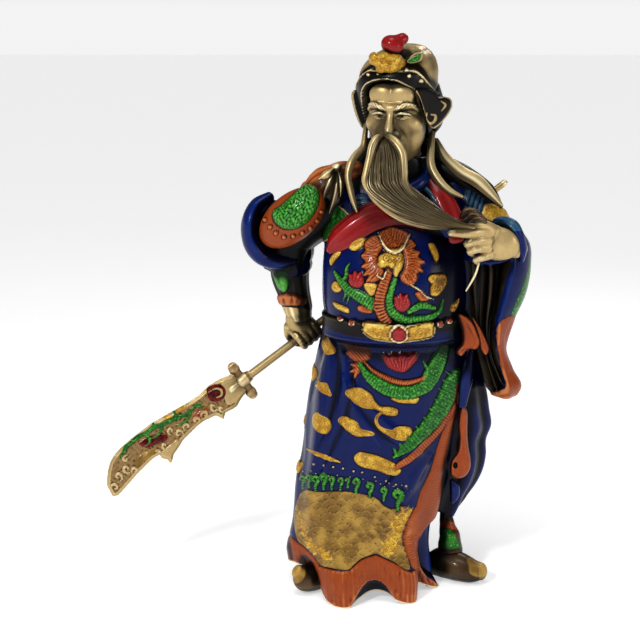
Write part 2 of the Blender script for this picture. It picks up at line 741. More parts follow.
WAVES = [
    (296, 505), (303, 491), (320, 492), (341, 491), (362, 494), (376, 498), (383, 505), (392, 509),
    (401, 506), (412, 509), (408, 521), (404, 537), (406, 549), (410, 569), (405, 570), (394, 562),
    (383, 557), (376, 554), (368, 556), (361, 559), (355, 564), (350, 569), (341, 570), (330, 568),
    (320, 565), (313, 555), (304, 546), (298, 541), (294, 520),
]
HEM_BAND = [
    (270, 530), (288, 534), (297, 542), (304, 547), (313, 556), (320, 566), (330, 569), (341, 571),
    (350, 570), (355, 565), (361, 560), (368, 557), (376, 555), (383, 558), (394, 563), (405, 570),
    (411, 572), (420, 566), (450, 585), (450, 660), (270, 660),
]
HEM_ARCH = [
    (348, 612), (353, 602), (357, 594), (362, 586), (367, 581), (374, 579), (381, 581), (387, 586),
    (391, 592), (397, 601), (402, 612),
]
HEM_CREASES = [
    [(322, 569), (326, 580), (330, 590), (333, 600)], [(349, 570), (347, 578), (346, 588), (350, 600)],
    [(400, 570), (399, 578), (400, 590), (403, 600)], [(378, 558), (384, 568), (390, 578), (396, 590)],
    [(304, 550), (308, 560), (313, 570), (318, 582)],
]
WAVE_GLINTS = [
    [(301, 510), (306, 522), (311, 536), (319, 545), (333, 553), (329, 562), (314, 553), (303, 541),
     (299, 525)],
    [(396, 513), (404, 509), (412, 511), (408, 522), (403, 536), (396, 550), (388, 556), (378, 551),
     (383, 541), (388, 532), (391, 522)],
]
SCALE_WIDTH, SCALE_HEIGHT = 12.0, 6.4


def wave_scales(at):
    """Rows of overlapping half discs, each row in front of the one above it, loosely set."""
    x = at[:, 0] + 1.6 * np.sin(at[:, 1] * 0.11 + at[:, 0] * 0.045) + 0.8 * np.sin(at[:, 1] * 0.31)
    y = at[:, 1] + 1.5 * np.sin(at[:, 0] * 0.075) + 0.7 * np.sin(at[:, 0] * 0.19 + 1)
    made = np.zeros(len(at))
    for step in range(3):
        row = np.floor(y / SCALE_HEIGHT) + step
        shift = 0.5 * (row % 2)
        column = np.round(x / SCALE_WIDTH - shift)
        radius = SCALE_WIDTH * 0.6 * (1 + 0.08 * np.sin(column * 2.7 + row * 4.1))
        d = np.hypot(x - (column + shift) * SCALE_WIDTH, (y - row * SCALE_HEIGHT) * 1.1) / radius
        made = np.where(d < 1, 0.12 * d ** 2 - 0.02 * step, made)
    return made + hammered(at * 0.6, 0.025)


SKIRT_FOLDS = [
    ([(331, 332), (328, 380), (322, 430), (312, 470)], [2.5, 4, 4, 2]),
    ([(345, 355), (346, 390), (334, 440), (322, 480)], [2, 3.5, 4, 2]),
    ([(352, 384), (376, 420), (402, 442), (424, 455)], [2, 4.5, 4.5, 2]),
    ([(344, 376), (362, 420), (380, 446)], [2, 4, 2]),
    ([(430, 455), (414, 480), (404, 500)], [2, 3, 2]),
]
SKIRT_CREASES = [
    ([(325, 330), (322, 352), (316, 372), (311, 400)], [2.5, 5.5, 5.5, 2.5]),
    ([(337, 338), (338, 366), (336, 392), (328, 424), (317, 452)], [2.5, 6.0, 7.0, 6.5, 3]),
    ([(350, 362), (353, 386), (346, 416), (334, 446), (322, 470)], [2.5, 6.0, 6.0, 6.0, 3]),
    ([(347, 380), (356, 400), (368, 418), (384, 436), (398, 446)], [2.5, 5.5, 6.5, 6.0, 3]),
    ([(404, 448), (396, 470), (384, 486)], [2.5, 5.5, 2.5]),
    ([(304, 430), (301, 455), (299, 476)], [2.5, 5.0, 2.5]),
]
FRINGE = [
    (340, 336), (349, 339), (355, 341), (362, 343), (371, 346), (372, 352), (370, 359), (364, 363),
    (363, 370), (358, 375), (354, 379), (354, 373), (349, 372), (354, 368), (350, 364), (356, 362),
    (350, 358), (346, 353), (347, 348), (342, 344),
]
DRAGON_BODY = [
    (361, 364), (367, 374), (377, 383), (388, 389), (401, 392), (414, 391), (425, 385), (432, 374),
    (438, 361), (443, 348), (444, 334),
]
DRAGON_BELLY = [(365, 362), (373, 370), (383, 376), (394, 381), (405, 383), (416, 381), (424, 377)]
DRAGON_TAIL = [(457, 374), (452, 385), (446, 398), (438, 413), (428, 426), (415, 439), (403, 450), (394, 457)]
TAIL_UNDERSIDE = [(458, 401), (450, 413), (442, 425), (431, 438), (419, 450), (408, 460), (397, 467)]
SKIRT_PEARL = [
    (381, 354), (383, 351), (388, 352), (392, 349), (397, 351), (401, 349), (407, 351), (412, 349),
    (419, 351), (418, 358), (412, 366), (405, 372), (399, 372), (388, 367),
]
# A curl of the waves' crest: its points, the shifts of them that don't grow with it, and its widths.
CURL = np.array([(-1.0, 1.4), (-2.6, -0.6), (0, -3.4), (2.8, -1.6), (2.2, 2.4), (0, 6.0), (0, 11)])
CURL_SHIFTS = [0, 0, -0.4, 0, 0, 0.4, 0.2]
CURL_WIDTHS = [1.2, 1.7, 2.1, 2.4, 2.3, 2.0]
WAVE_CURLS = [
    (303, 479, 0.8), (309, 478, 0.8), (315.5, 480, 0.95), (323.5, 478, 1.0), (331.5, 480, 0.8),
    (340.5, 481, 0.75), (347.5, 480.5, 0.6), (356, 482.5, 0.95), (369.5, 486.5, 0.95), (383.5, 491, 0.85),
    (397.5, 495.5, 1.3),
]
WAVE_PEARLS = [
    (314.5, 464.2), (324, 465.4), (333.4, 467), (343.2, 468.4), (353.7, 471.2), (362.2, 472.4), (374.8, 477),
    (386, 481), (395.8, 484.5), (405.7, 485.8),
]


def tail_fins(canvas, count=10):
    for k in range(count):
        share = (k + 0.5) / count
        root = curve(DRAGON_TAIL, share)
        lean = curve(DRAGON_TAIL, min(1, share + 0.02)) - curve(DRAGON_TAIL, share - 0.02)
        across = np.array([lean[1], -lean[0]]) / np.hypot(*lean)
        tip = root - across * mix(11.5, 6.0, share) - [0, 2.0]
        canvas.stroke("green", [root, (root + tip) / 2, tip], [2.4, 1.8, 0.5], 0.38)


def waves_art(canvas):
    canvas.blob("tan", WAVES, 0.1, soft=2, texture=wave_scales(canvas.at))
    for outline in WAVE_GLINTS:
        canvas.tint("gold", outline)
    for x, y, size in WAVE_CURLS:
        hook = (x, y) + CURL * size
        hook[:, 0] += CURL_SHIFTS
        canvas.stroke("green", hook, [width * size for width in CURL_WIDTHS] + [1.4], 0.3)
    for place in WAVE_PEARLS:
        canvas.spot("pearl", place, 1.1, 0.2)
    for k in range(26):
        x = 303 + 4.3 * k
        canvas.spot("pearl", (x, 471 + 0.16 * (x - 300) + 2.2 * math.sin(k * 2.1)), 0.75, 0.12)
    canvas.fill("orange", HEM_BAND, 0.22, soft=3)
    canvas.crease([(288, 536), (290, 550), (293, 562)], [5, 6, 5], 0.2, 0.9)
    for rows in HEM_CREASES:
        canvas.crease(rows, [2.0, 4.5, 6.0, 5.0], 0.12, 0.1)
    canvas.fill("blue", HEM_ARCH, -0.9, soft=6, wash=0.6)


def skirt_art(canvas):
    for rows, radii in SKIRT_FOLDS:
        canvas.fold(rows, radii, 0.5)
    for rows, radii in SKIRT_CREASES:
        canvas.crease(rows, radii, 0.3)
    for outline in SKIRT_CLOUDS:
        canvas.blob("gold", outline, 0.26, soft=4, texture=hammered(canvas.at))
    for rows, radii in SKIRT_WISPS:
        canvas.stroke("gold", rows, radii, 0.24)
    canvas.fill("orange", FRINGE, 0.3, soft=5, texture=fine_lines(canvas.at, -0.7, 2.6, 0.05))
    body_widths = [2.6, 4.6, 6.2, 7.0, 7.0, 6.8, 7.6, 8.4, 8.2, 6.4, 3.6]
    canvas.stroke("green", DRAGON_BODY, body_widths, 0.42, scales(3.0, 0.10))
    canvas.stroke("green", [(427, 352), (430.5, 346.5), (430, 338)], [1.0, 3.0, 1.0], 0.3)
    canvas.stroke("green", [(434, 372), (427.5, 368), (423, 361)], [3.0, 2.4, 0.8], 0.3)
    canvas.stroke("orange", DRAGON_BELLY, [1.4, 2.4, 2.8, 3.0, 3.0, 2.6, 1.2], 0.4, ribs(2.2, 0.06))
    canvas.blob("red", SKIRT_PEARL, 0.46, soft=7, texture=hair_lines(canvas, (400, 382), 40, 0.05))
    canvas.stroke("green", DRAGON_TAIL, [6, 9, 9, 8.4, 7.4, 6.2, 4.2, 1.6], 0.42, scales(3.4, 0.11))
    tail_fins(canvas)
    canvas.stroke("orange", TAIL_UNDERSIDE, [2.0, 3.2, 3.6, 3.8, 3.8, 3.6, 2.6], 0.4, ribs(2.8, 0.09))
    waves_art(canvas)


def border_art(canvas):
    """The ridged border along the front panel's edge."""
    strip = BORDER_EDGE + [(x + 1.5, y) for x, y in PANEL_EDGE[-1:3:-1]]
    middle = mix(np.array(BORDER_EDGE), np.array(PANEL_EDGE[4:16]), 0.5)
    _, along, across = stroke_distance(canvas.at, middle, [12.0])
    canvas.fill("orange", strip, 0.4, soft=6, texture=ribs(2.5, 0.05, 1.6)(along, across))


ROBE_TOP, ROBE_CORE = 50, (-2.5, 0, 22)
FRONT_START, BEHIND_END = -1.95, TURN - 1.85  # the angles where the layers end on the figure's right
SIDE_CLOUDS = [(-1.55, 40, 0.17, 1.3), (-1.72, 31, 0.15, 1.2), (-1.5, 22.5, 0.16, 1.1)]


def side_clouds(canvas, a, z):
    """Plainer clouds on the sides, where the reference view doesn't reach."""
    for k, (angle, height, wide, high) in enumerate(SIDE_CLOUDS):
        x, y = (a.ravel() - angle) / wide, (z.ravel() - height) / high
        distance = (np.hypot(x + 0.25 * np.sin(2 * y + k), y + 0.3 * np.cos(3.1 * x)) - 1) * 5
        canvas.lay("gold", bounded(distance), 0.3)


def robe_grid(rows, columns, start, end):
    """Angles and heights of a layer of the robe, between angles that may follow the height."""
    z = np.linspace(0, ROBE_TOP, fine(rows))[:, None]
    a = mix(start(z), end(z), np.linspace(0, 1, fine(columns))[None, :])
    return a, np.broadcast_to(z, a.shape)


def robe_layer(shaped, fields):
    made = patch(shaped, ROBE_CORE, **fields)
    made.points[:, 2] = np.maximum(made.points[:, 2], 0.01)
    return made


def robe_front():
    a, z = robe_grid(450, 400, lambda z: FRONT_START, panel_angle)
    base = wall_point(ROBE, a, z, robe_ripple(a, z), robe_lift(a, z))
    canvas = Canvas(seen(base))
    side_clouds(canvas, a, z)
    skirt_art(canvas)
    border_art(canvas)
    ridges = 0.016 * np.cos(110 * a + 1.5 * np.sin(9 * a) + 0.5 * np.sin(z * 1.3)) + 0.018 * np.cos(47 * a)
    fields = canvas.fields()
    band = smooth(-0.5, 1.5, fields["orange"]) * (1 - smooth(6.2, 8, z - robe_lift(a, z)))
    rim = (HEM_RIM - z) * 6
    fields["brass"] = np.maximum(fields.get("brass", OUTSIDE), rim)
    fields["orange"] = np.minimum(fields["orange"], -rim)
    return robe_layer(canvas.shaped(base, ridges * band), fields)


# Clouds of the back, by their points' x and y and how much of the tilt they follow.
ROBE_CLOUD = [
    (-15, 0, 1), (-8, -6, 0), (0, -4, 0), (7, -7, 0), (12, -2, 0), (19, -1, -1), (8, 5, 0), (-2, 4, 0),
    (-9, 6, 0),
]
TRUNK_CLOUD = [(-13, 0, 0), (-5, -5, 0), (4, -4, 0), (14, -1, 0), (5, 5, 0), (-6, 4, 0)]
ACROSS, DOWN = 70, 6  # pixels to a radian and to a unit of height, in the drawings on the back


def back_canvas(a, z):
    return Canvas(np.stack([a * ACROSS, -z * DOWN], -1))


def back_cloud(canvas, form, angle, height, tilt=0.0):
    x, y = angle * ACROSS, -height * DOWN
    canvas.blob("gold", [(x + right, y + down + follows * tilt) for right, down, follows in form])


def robe_behind():
    """The under layer, from behind the front panel's edge round the back."""
    a, z = robe_grid(190, 230, lambda z: panel_angle(z) - 0.14, lambda z: BEHIND_END)
    turned = np.where(a > math.pi, a - TURN, a)
    out = robe_ripple(turned, z) - PANEL_THICKNESS * (1 - smooth(0.0, 0.5, a - 1.5)) - 0.1
    base = wall_point(ROBE, a, z, out, robe_lift(turned, z))
    canvas = back_canvas(a, z)
    for k in range(11):
        row, spot = k % 4, k // 4
        back_cloud(canvas, ROBE_CLOUD, 2.25 + 0.78 * spot + 0.39 * (row % 2), 15 + 9.0 * row,
                   3 * math.sin(k * 2.3))
    hem = (z - 5.2 - 0.6 * np.sin(7 * a)) * 5
    canvas.lay("orange", bounded(np.maximum(hem, (2.05 - a) * 40)).ravel(), 0.2, soft=2)
    fields = canvas.fields()
    ridges = 0.04 * np.cos(90 * a + 1.5 * np.sin(9 * a))
    return robe_layer(canvas.shaped(base, ridges * smooth(-0.5, 1.5, fields["orange"])), fields)


# Trunk

TRUNK = [
    [44, 1.5, -0.8, 12.2, 9.0], [46, 1.7, -1.6, 12.4, 9.4], [49, 1.8, -2.0, 12.3, 9.4],
    [54, 1.6, -2.6, 12.7, 10.6], [59, 1.5, -2.6, 12.8, 10.6], [64, 1.6, -1.8, 12.6, 9.4],
    [68, 2.0, -0.2, 13.2, 8.2], [71, 2.0, 0.4, 13.6, 7.2], [73.6, 1.9, 0.4, 12.6, 6.0],
    [76, 2.0, 0.0, 8.6, 5.0], [80, 2.0, -0.6, 4.0, 4.2],
]
GIRDLE = [
    [46.9, 1.8, -1.6, 12.3, 9.9], [47.6, 1.8, -1.6, 12.9, 10.5], [49.6, 1.8, -1.75, 13.1, 10.8],
    [51.6, 1.8, -1.9, 12.9, 10.7], [52.3, 1.8, -1.9, 12.4, 10.0],
]
BELLY_CLOUDS = [
    [(349, 248), (351, 242), (357, 238), (364, 237), (366, 242), (361, 248), (354, 251)],
    [(330.2, 258), (336, 251), (340.5, 250), (340.5, 254.5), (336, 260), (331.3, 265.7), (329.6, 262.5)],
    [(331.9, 284.3), (335.4, 281), (339.4, 284), (342.2, 289), (339.4, 292.3), (334.8, 292), (331.6, 288)],
    [(428, 279), (431, 275), (438, 274), (445, 275), (447, 282), (443, 290), (437, 296), (431, 295),
     (430, 289), (431, 284)],
    [(428.5, 244), (433, 243), (437, 249), (439, 258), (436, 262), (432, 255)],
    [(451, 305), (455, 302), (459, 298), (458, 305), (454, 312), (450, 311)],
    [(364, 284), (370, 282), (377, 285), (377, 291), (371, 296), (366, 291)],
    [(333, 302), (340, 304), (349, 309), (349, 313), (341, 311), (335, 307)],
]
MANE_LEFT = [
    (364, 244), (370, 237), (378, 235), (381, 240), (383, 247), (379, 254), (378, 261), (382, 266),
    (384, 272), (380, 279), (373, 283), (366, 282), (368, 276), (363, 276), (366, 270), (361, 267),
    (365, 262), (361, 256), (365, 251),
]
MANE_RIGHT = [
    (406, 238), (412, 240), (416, 246), (414, 249), (420, 252), (419, 257), (425, 262), (421, 266),
    (423, 272), (418, 273), (417, 280), (412, 286), (405, 284), (400, 278), (404, 268), (404, 258),
    (402, 248),
]
LION_FACE = [
    (378.4, 257), (382, 254), (387.6, 252.5), (394.5, 254.5), (400.4, 252.5), (403.7, 258), (403, 266),
    (399.6, 272.5), (396, 277.4), (391.5, 271), (387.6, 267.4), (381, 268.4), (377.6, 263.6),
]
LION_FOREHEAD = [
    (379, 233), (386, 229), (392, 227), (400, 229), (409, 234), (407, 245), (399, 252), (388, 252),
    (382, 245),
]
LION_BROW = [(385, 246), (390, 249), (398, 249), (403, 245), (401, 252), (394.5, 255), (388, 252)]
LION_NECK = [(389, 272), (384.5, 283), (380.9, 294), (380, 306), (383, 316), (388, 324)]
HORNS = [(378, 233), (383, 244), (388, 251), (395, 254), (401, 251), (406, 243), (410, 234)]
LEFT_BODY = [(335, 272), (341, 281), (350, 290), (359, 296), (368, 301), (376, 306)]
RIGHT_BODY = [
    (395, 280), (391, 291), (389, 301), (391, 310), (398, 317), (407, 320), (417, 319), (431, 317),
    (439, 311), (443, 300),
]
CHEST_RIGHT = [(318, 205), (332, 203), (346, 212), (352, 222), (340, 230), (328, 240), (318, 240)]
CHEST_MIDDLE = [(353, 197), (360, 194), (368, 199), (372, 210), (362, 214), (354, 213)]
CHEST_LEFT = [(428, 198), (436, 197), (443, 204), (445, 212), (436, 213), (430, 206)]
BELLY_FLAMES = [
    [(415, 293.5), (419.7, 291), (425.5, 294.6), (430, 298), (426.6, 301), (421, 301.5), (417.4, 298)],
    [(358, 306), (366, 305), (373, 308), (372, 313), (364, 313), (358, 310)],
]
CLAWS = [
    ([(342, 283), (346, 276), (347, 268), (350, 263)], [2.4, 2.0, 1.5, 0.7], 0.4),
    ([(345, 287), (346, 294), (343, 301)], [2.2, 1.5, 0.6], 0.36),
    ([(347, 289), (349, 296), (347, 303)], [2.0, 1.2, 0.5], 0.36),
]


def lion_art(canvas):
    """The lion's mask on the belly, with its mane, neck and horns."""
    for mane in (MANE_LEFT, MANE_RIGHT):
        canvas.blob("orange", mane, 0.42, soft=4, texture=hair_lines(canvas, (391.5, 257), 52, 0.06, 0.12))
    canvas.blob("orange", LION_FOREHEAD, 0.34, texture=hair_lines(canvas, (391.5, 257), 52, 0.05, 0.12))
    canvas.stroke("orange", LION_NECK, [3.6, 5.0, 5.8, 5.8, 5.6, 5.0], 0.5, ribs(3.2, 0.14))
    canvas.stroke("brass", [(377.6, 276), (383, 279), (386, 272)], [0.9, 0.9, 0.9], 0.8)
    canvas.blob("gold", LION_FACE, 0.62, soft=5, texture=hammered(canvas.at, 0.04))
    canvas.blob("gold", LION_BROW, 0.66)
    canvas.spot("dark", (391.4, 270.6), 1.7, 0.5)
    for x, y in ((386.5, 259.5), (398.6, 259.8)):
        canvas.spot("gold", (x, y), 2.8, 0.85)
        canvas.spot("dark", (x, y + 0.2), 1.0, 0.8)
    canvas.spot("gold", (392, 265.4), 2.6, 0.85)
    canvas.stroke("brass", HORNS, [0.9, 1.25, 1.4, 1.3, 1.4, 1.25, 0.9], 0.8)


def belly_art(canvas):
    canvas.blob("green", CHEST_RIGHT, rim=0.9, rim_raised=0.4)
    canvas.blob("teal", CHEST_MIDDLE, texture=0.12 * np.cos(canvas.at[:, 1] * 1.3))
    canvas.blob("green", CHEST_LEFT)
    for outline in BELLY_CLOUDS:
        canvas.blob("gold", outline, 0.34, texture=hammered(canvas.at))
    for outline in BELLY_FLAMES:
        canvas.blob("orange", outline)
    for rows, radii, raised in CLAWS:
        canvas.stroke("green", rows, radii, raised)
    canvas.stroke("green", LEFT_BODY, [1.4, 3.2, 4.4, 5.4, 6, 5.2], 0.45, scales(3.0, 0.12))
    canvas.stroke("green", [(409, 312), (421, 305.5), (434, 308)], [2.2, 3.8, 2.2], 0.45, scales(3, 0.16))
    canvas.stroke("green", RIGHT_BODY, [2.4, 3.4, 4.2, 4.6, 4.6, 4.4, 4, 3.4, 2.6, 1.0], 0.45,
                  scales(3.0, 0.12))
    for x, y, size in ((356.4, 280.6, 1.0), (401.9, 303.4, 1.06)):
        angles = np.radians(20 * np.arange(18))
        reach = size * np.array([10.2 if k in (11, 13, 15) else 8.0 for k in range(18)])
        pearl = np.stack([x + reach * np.cos(angles), y + reach * np.sin(angles)], -1)
        canvas.blob("red", pearl, 0.45, soft=6, texture=hair_lines(canvas, (x, y + 9), 22, 0.05))
    lion_art(canvas)
    canvas.stroke("brass", [(411, 285), (419, 290), (427, 297), (433, 299)], [1.0, 1.1, 1.0, 0.7], 0.5)


TRUNK_SPAN, TRUNK_CORE = (44.5, 79), (1.8, 0, 60)


def laid_on(fields):
    """The strongest of all the enamels' values."""
    return np.max([fields[name] for name in ENAMELS if name in fields], axis=0)


def trunk_front():
    a, z = np.meshgrid(np.linspace(-1.7, 1.7, fine(330)), np.linspace(*TRUNK_SPAN, fine(280)))
    base = wall_point(TRUNK, a, z)
    at = seen(base)
    canvas = Canvas(at)
    belly_art(canvas)
    fields = canvas.fields()
    fields["crease"] = np.maximum(fields["crease"], smooth(422, 447, at[..., 0] - 0.10 * (at[..., 1] - 300)))
    collar_edge = np.minimum(bounded((z - 73.5) * 4 - 3 * np.cos(a * 3)), -laid_on(fields) - 0.4)
    fields["dark"] = np.maximum(fields.get("dark", OUTSIDE), collar_edge)
    return patch(canvas.shaped(base), TRUNK_CORE, **fields)


def trunk_behind():
    a, z = np.meshgrid(np.linspace(1.6, TURN - 1.6, fine(120)), np.linspace(*TRUNK_SPAN, fine(110)))
    out = 0.35 * np.cos(11 * a) * (1 - smooth(50, 62, z)) + 0.3 * np.cos(5 * a + 0.2 * z) * smooth(56, 66, z)
    base = wall_point(TRUNK, a, z, out)
    canvas = back_canvas(a, z)
    for k in range(6):
        back_cloud(canvas, TRUNK_CLOUD, 2.2 + 0.75 * (k % 3) + 0.3 * (k // 3), 56 + 6.5 * (k // 3))
    return patch(canvas.shaped(base), TRUNK_CORE, **canvas.fields())


BUCKLE = [
    (363, 327), (365, 322), (372, 322), (380, 323), (389, 325), (399, 326), (409, 326), (420, 324),
    (428, 322), (433, 324), (434, 330), (432, 336), (424, 339), (412, 341), (399, 342), (385, 341),
    (374, 339), (367, 335), (363, 331),
]
BUCKLE_JEWEL = (398.8, 333.8)


def girdle_art(canvas):
    for place in ((352, 322.5), (440, 324.2), (341, 318.0), (449, 320.5)):
        canvas.spot("red", place, 2.8, 0.4, rim=0.7, rim_raised=0.3)
    canvas.blob("gold", BUCKLE, 0.5, soft=4, texture=hammered(canvas.at, 0.035), rim=0.6, rim_raised=0.5)
    canvas.spot("red", BUCKLE_JEWEL, 7.6, 0.8)
    canvas.ring("brass", BUCKLE_JEWEL, 8.4, 1.1, 0.6)


def girdle():
    a, z = ring_grid(GIRDLE, 60, 440)
    edge = 0.18 * (np.exp(-((z - 48.0) / 0.35) ** 2) + np.exp(-((z - 51.2) / 0.35) ** 2))
    shaped, fields = drawn(wall_point(GIRDLE, a, z, edge), girdle_art)
    fields["dark"] = np.minimum(bounded((z - 49.2 - 0.5 * np.sin(3 * a)) * 5), -laid_on(fields))
    return tube(shaped, **fields)


SASH_LINE = [
    (331, 249), (336, 244), (342, 239), (358, 227), (376, 217), (395, 214), (412, 218), (430, 226),
    (447, 232), (462, 240),
]
SASH_WIDTHS = [5, 10, 13, 14.5, 15, 13.5, 10.5, 7.5, 5.5, 4.0]


def sash():
    half = [[w * PIXEL, mix(0.8, 1.3, w / 15)] for w in SASH_WIDTHS]
    made = limb(on_wall(TRUNK, SASH_LINE, 0.3), half, (0, -1, 0.3), 110, 200,
                lambda a, t: 1 + 0.06 * np.cos(5 * a + 2.6 * t) + 0.03 * np.cos(11 * a - 5 * t))
    made.fields["dark"] = bounded((seen(made.points)[:, 0] - 424) * 0.4)
    return made


def collar():
    roll = swept([[-3.0, -2.6, 77.0, 0.9, 0.9], [-1.4, -5.6, 75.2, 1.2, 1.0], [2.4, -7.0, 73.6, 1.3, 1.1],
                  [6.0, -5.8, 75.2, 1.2, 1.0], [7.0, -2.8, 77.2, 0.9, 0.9]],
                 (0, -1, 0), 40, 70, creased(3, 0.05, 4))
    return roll + swept([[2.0, -7.4, 73.2, 1.1, 0.8], [5.4, -8.6, 71.6, 1.5, 1.0],
                         [8.6, -9.4, 69.2, 1.5, 1.0], [10.4, -9.6, 66.6, 1.1, 0.8]],
                        (0.3, -1, 0.4), 40, 70, creased(3, 0.06, 2))


def collar_cord():
    return swept([[5.6, -5.6, 74.6, 0.5, 0.4], [8.0, -7.4, 72.2, 0.6, 0.5], [9.6, -8.6, 69.6, 0.6, 0.5],
                  [10.2, -9.0, 67.2, 0.4, 0.4]], (0.3, -1, 0.4), 24, 50)


def lapel():
    return swept([[7.0, -4.4, 76.4, 1.0, 0.6], [9.2, -7.0, 72.8, 1.6, 0.8], [11.0, -8.6, 69.0, 1.7, 0.9],
                  [11.6, -9.2, 65.4, 1.4, 0.8]], (0.4, -1, 0.2), 48, 80, creased(2, 0.05, 1))


# Right shoulder and arm

PAULDRON_CENTRE, PAULDRON_TURN, PAULDRON_RADII = (-16.6, -3.9, 68.5), (0.1, -0.76, -0.3), (7.3, 4.2, 4.1)
PAULDRON_PLATE = [
    (273, 211), (274, 221), (282, 228), (294, 229), (306, 223), (315, 212), (319, 200), (317, 188),
    (308, 184), (300, 188), (290, 197), (280, 206),
]
PAULDRON_STUDS = [
    (321, 212), (317, 221), (310, 228), (302, 233), (293, 236), (284, 237), (276, 233), (270, 227),
    (265, 220),
]


def pauldron_art(canvas):
    canvas.blob("green", PAULDRON_PLATE, 0.9, soft=9, texture=hammered(canvas.at * 0.8, 0.1))
    for place in PAULDRON_STUDS:
        canvas.spot("orange", place, 2.2, 0.35)


def drawn_tube(rings, art):
    shaped, fields = drawn(rings, art)
    return tube(shaped, **fields)


def pauldron():
    return drawn_tube(ball_rings(PAULDRON_CENTRE, PAULDRON_RADII, PAULDRON_TURN, 240, 150), pauldron_art)


def shoulder_cap():
    return swept([[-13.0, 0, 71.8, 3.6, 2.8], [-11.0, -1.2, 74.2, 3.2, 2.6], [-8.6, -1.8, 75.5, 2.6, 2.4],
                  [-5.2, -1.6, 76.4, 1.8, 2.0]], (-0.4, -0.6, 1), 60, 60,
                 lambda a, t: 1 + 0.05 * np.cos(14 * t + 2 * np.sin(a)) + 0.03 * np.cos(9 * a))


def right_upper_arm():
    return swept([[-7.6, 0.4, 71.0, 4.4, 5.0], [-12.4, 0.8, 68.8, 4.8, 5.0], [-16.6, 2.0, 64.6, 4.4, 4.4],
                  [-17.8, 2.4, 60.2, 3.6, 3.4]], sides=60, steps=60, ripple=creased(5, 0.03, 2))


SLEEVE_LIP = [
    [-20.7, 0.6, 71.6], [-23.0, 0.0, 70.2], [-24.2, -0.6, 66.8], [-23.8, -0.8, 63.8], [-22.0, -0.8, 61.2],
    [-19.4, -0.6, 60.2], [-16.4, -0.2, 60.4],
]


def right_sleeve():
    share = [math.sin(math.pi * k / 6) for k in range(7)]
    return limb(SLEEVE_LIP, [[mix(1.0, 1.6, s), mix(1.2, 2.8, s)] for s in share], sides=72, steps=120,
                ripple=lambda a, t: 1 + 0.05 * np.cos(3 * a + 6 * t) + 0.03 * np.cos(22 * t))


def sleeve_bag():
    made = swept([[-19.4, 3.6, 69.4, 2.0, 1.6], [-19.8, 4.0, 67.0, 4.4, 3.2], [-19.2, 3.6, 63.4, 5.0, 3.6],
                  [-17.4, 2.8, 60.6, 4.9, 3.4], [-16.6, 2.6, 58.6, 3.6, 3.0]],
                 sides=80, steps=80, ripple=creased(7, 0.035, 2.5))
    at = seen(made.points)
    made.fields["dark"] = bounded(np.minimum(at[:, 0] - 284, 247 - at[:, 1]) * 0.3)
    return made


def dented(along, across):
    return 0.05 * np.cos(1.1 * along + 0.8 * np.sin(across)) * np.cos(1.3 * across)


def bracer_art(canvas):
    canvas.blob("green", [(272, 271), (281, 268), (288, 270), (289, 284), (285, 292), (279, 289), (275, 281)])
    canvas.lay("brass", bounded(308 - canvas.at[:, 1] + 0.1 * (canvas.at[:, 0] - 295)))
    canvas.stroke("orange", [(277, 300), (286, 299.5), (295, 300), (302, 302)], [4.5, 6.0, 6.0, 4.0], 0.5,
                  dented)


def right_forearm():
    through = [[-17.0, 2.6, 61.0], [-17.2, 3.2, 57.4], [-16.4, 4.0, 53.4], [-15.7, 4.6, 50.6],
               [-15.4, 4.8, 49.4]]
    half = [[3.6, 3.2], [3.4, 3.0], [2.8, 2.5], [2.6, 2.4], [2.2, 2.1]]
    return drawn_tube(limb_rings(through, half, sides=90, steps=110, ripple=creased(6, 0.03, 1.5)),
                      bracer_art)


# The glaive's axis: it passes the right fist, crosses behind the back and ends over the left shoulder.
GRIP = np.array([-14.4, 5.6, 45.8])
ALONG = np.array([23.6, 16.6, 72.8]) - GRIP
ALONG /= np.linalg.norm(ALONG)
OUT = np.array([0, -1, 0]) + ALONG * ALONG[1]
OUT /= np.linalg.norm(OUT)
UP = -np.cross(ALONG, OUT)


def by_grip(a, b, c):
    return GRIP + a * ALONG + b * UP + c * OUT


FINGER_ANGLES = 1.35 - 0.82 * np.arange(6)  # of a finger's joints round the shaft


def fist_field(p):
    made = egg(p, by_grip(0.3, 1.2, 0.2), (2.5, 2.3, 2.5))
    wrist = [[-15.5, 4.7, 50.4], by_grip(-0.1, 3.2, 0.4), by_grip(0.2, 1.4, 0.3)]
    made = join(made, worm(p, wrist, [2.0, 1.85, 2.0]), 0.7)
    for offset in (-1.75, -0.55, 0.7, 1.9):
        bend = [by_grip(offset + 0.05 * j, 1.75 * math.sin(a), 1.9 * math.cos(a))
                for j, a in enumerate(FINGER_ANGLES)]
        made = join(made, worm(p, bend, [0.78, 0.82, 0.7, 0.72, 0.62, 0.56], 0.1, 12), 0.16)
    thumb = [by_grip(-1.9, 2.9, 0.3), by_grip(-2.6, 1.3, -0.9), by_grip(-2.3, -0.6, -1.6),
             by_grip(-1.2, -1.8, -1.2)]
    made = join(made, worm(p, thumb, [0.95, 0.9, 0.75, 0.6], 0.1), 0.25)
    q = p - GRIP
    off = q - (q @ ALONG)[..., None] * ALONG
    return carve(made, np.linalg.norm(off, axis=-1) - 0.85, 0.1)


def right_fist():
    return surface(fist_field, (-19.4, 1.0, 41.4), (-9.8, 9.6, 52.4), 0.13)


# Left arm, raised to the beard

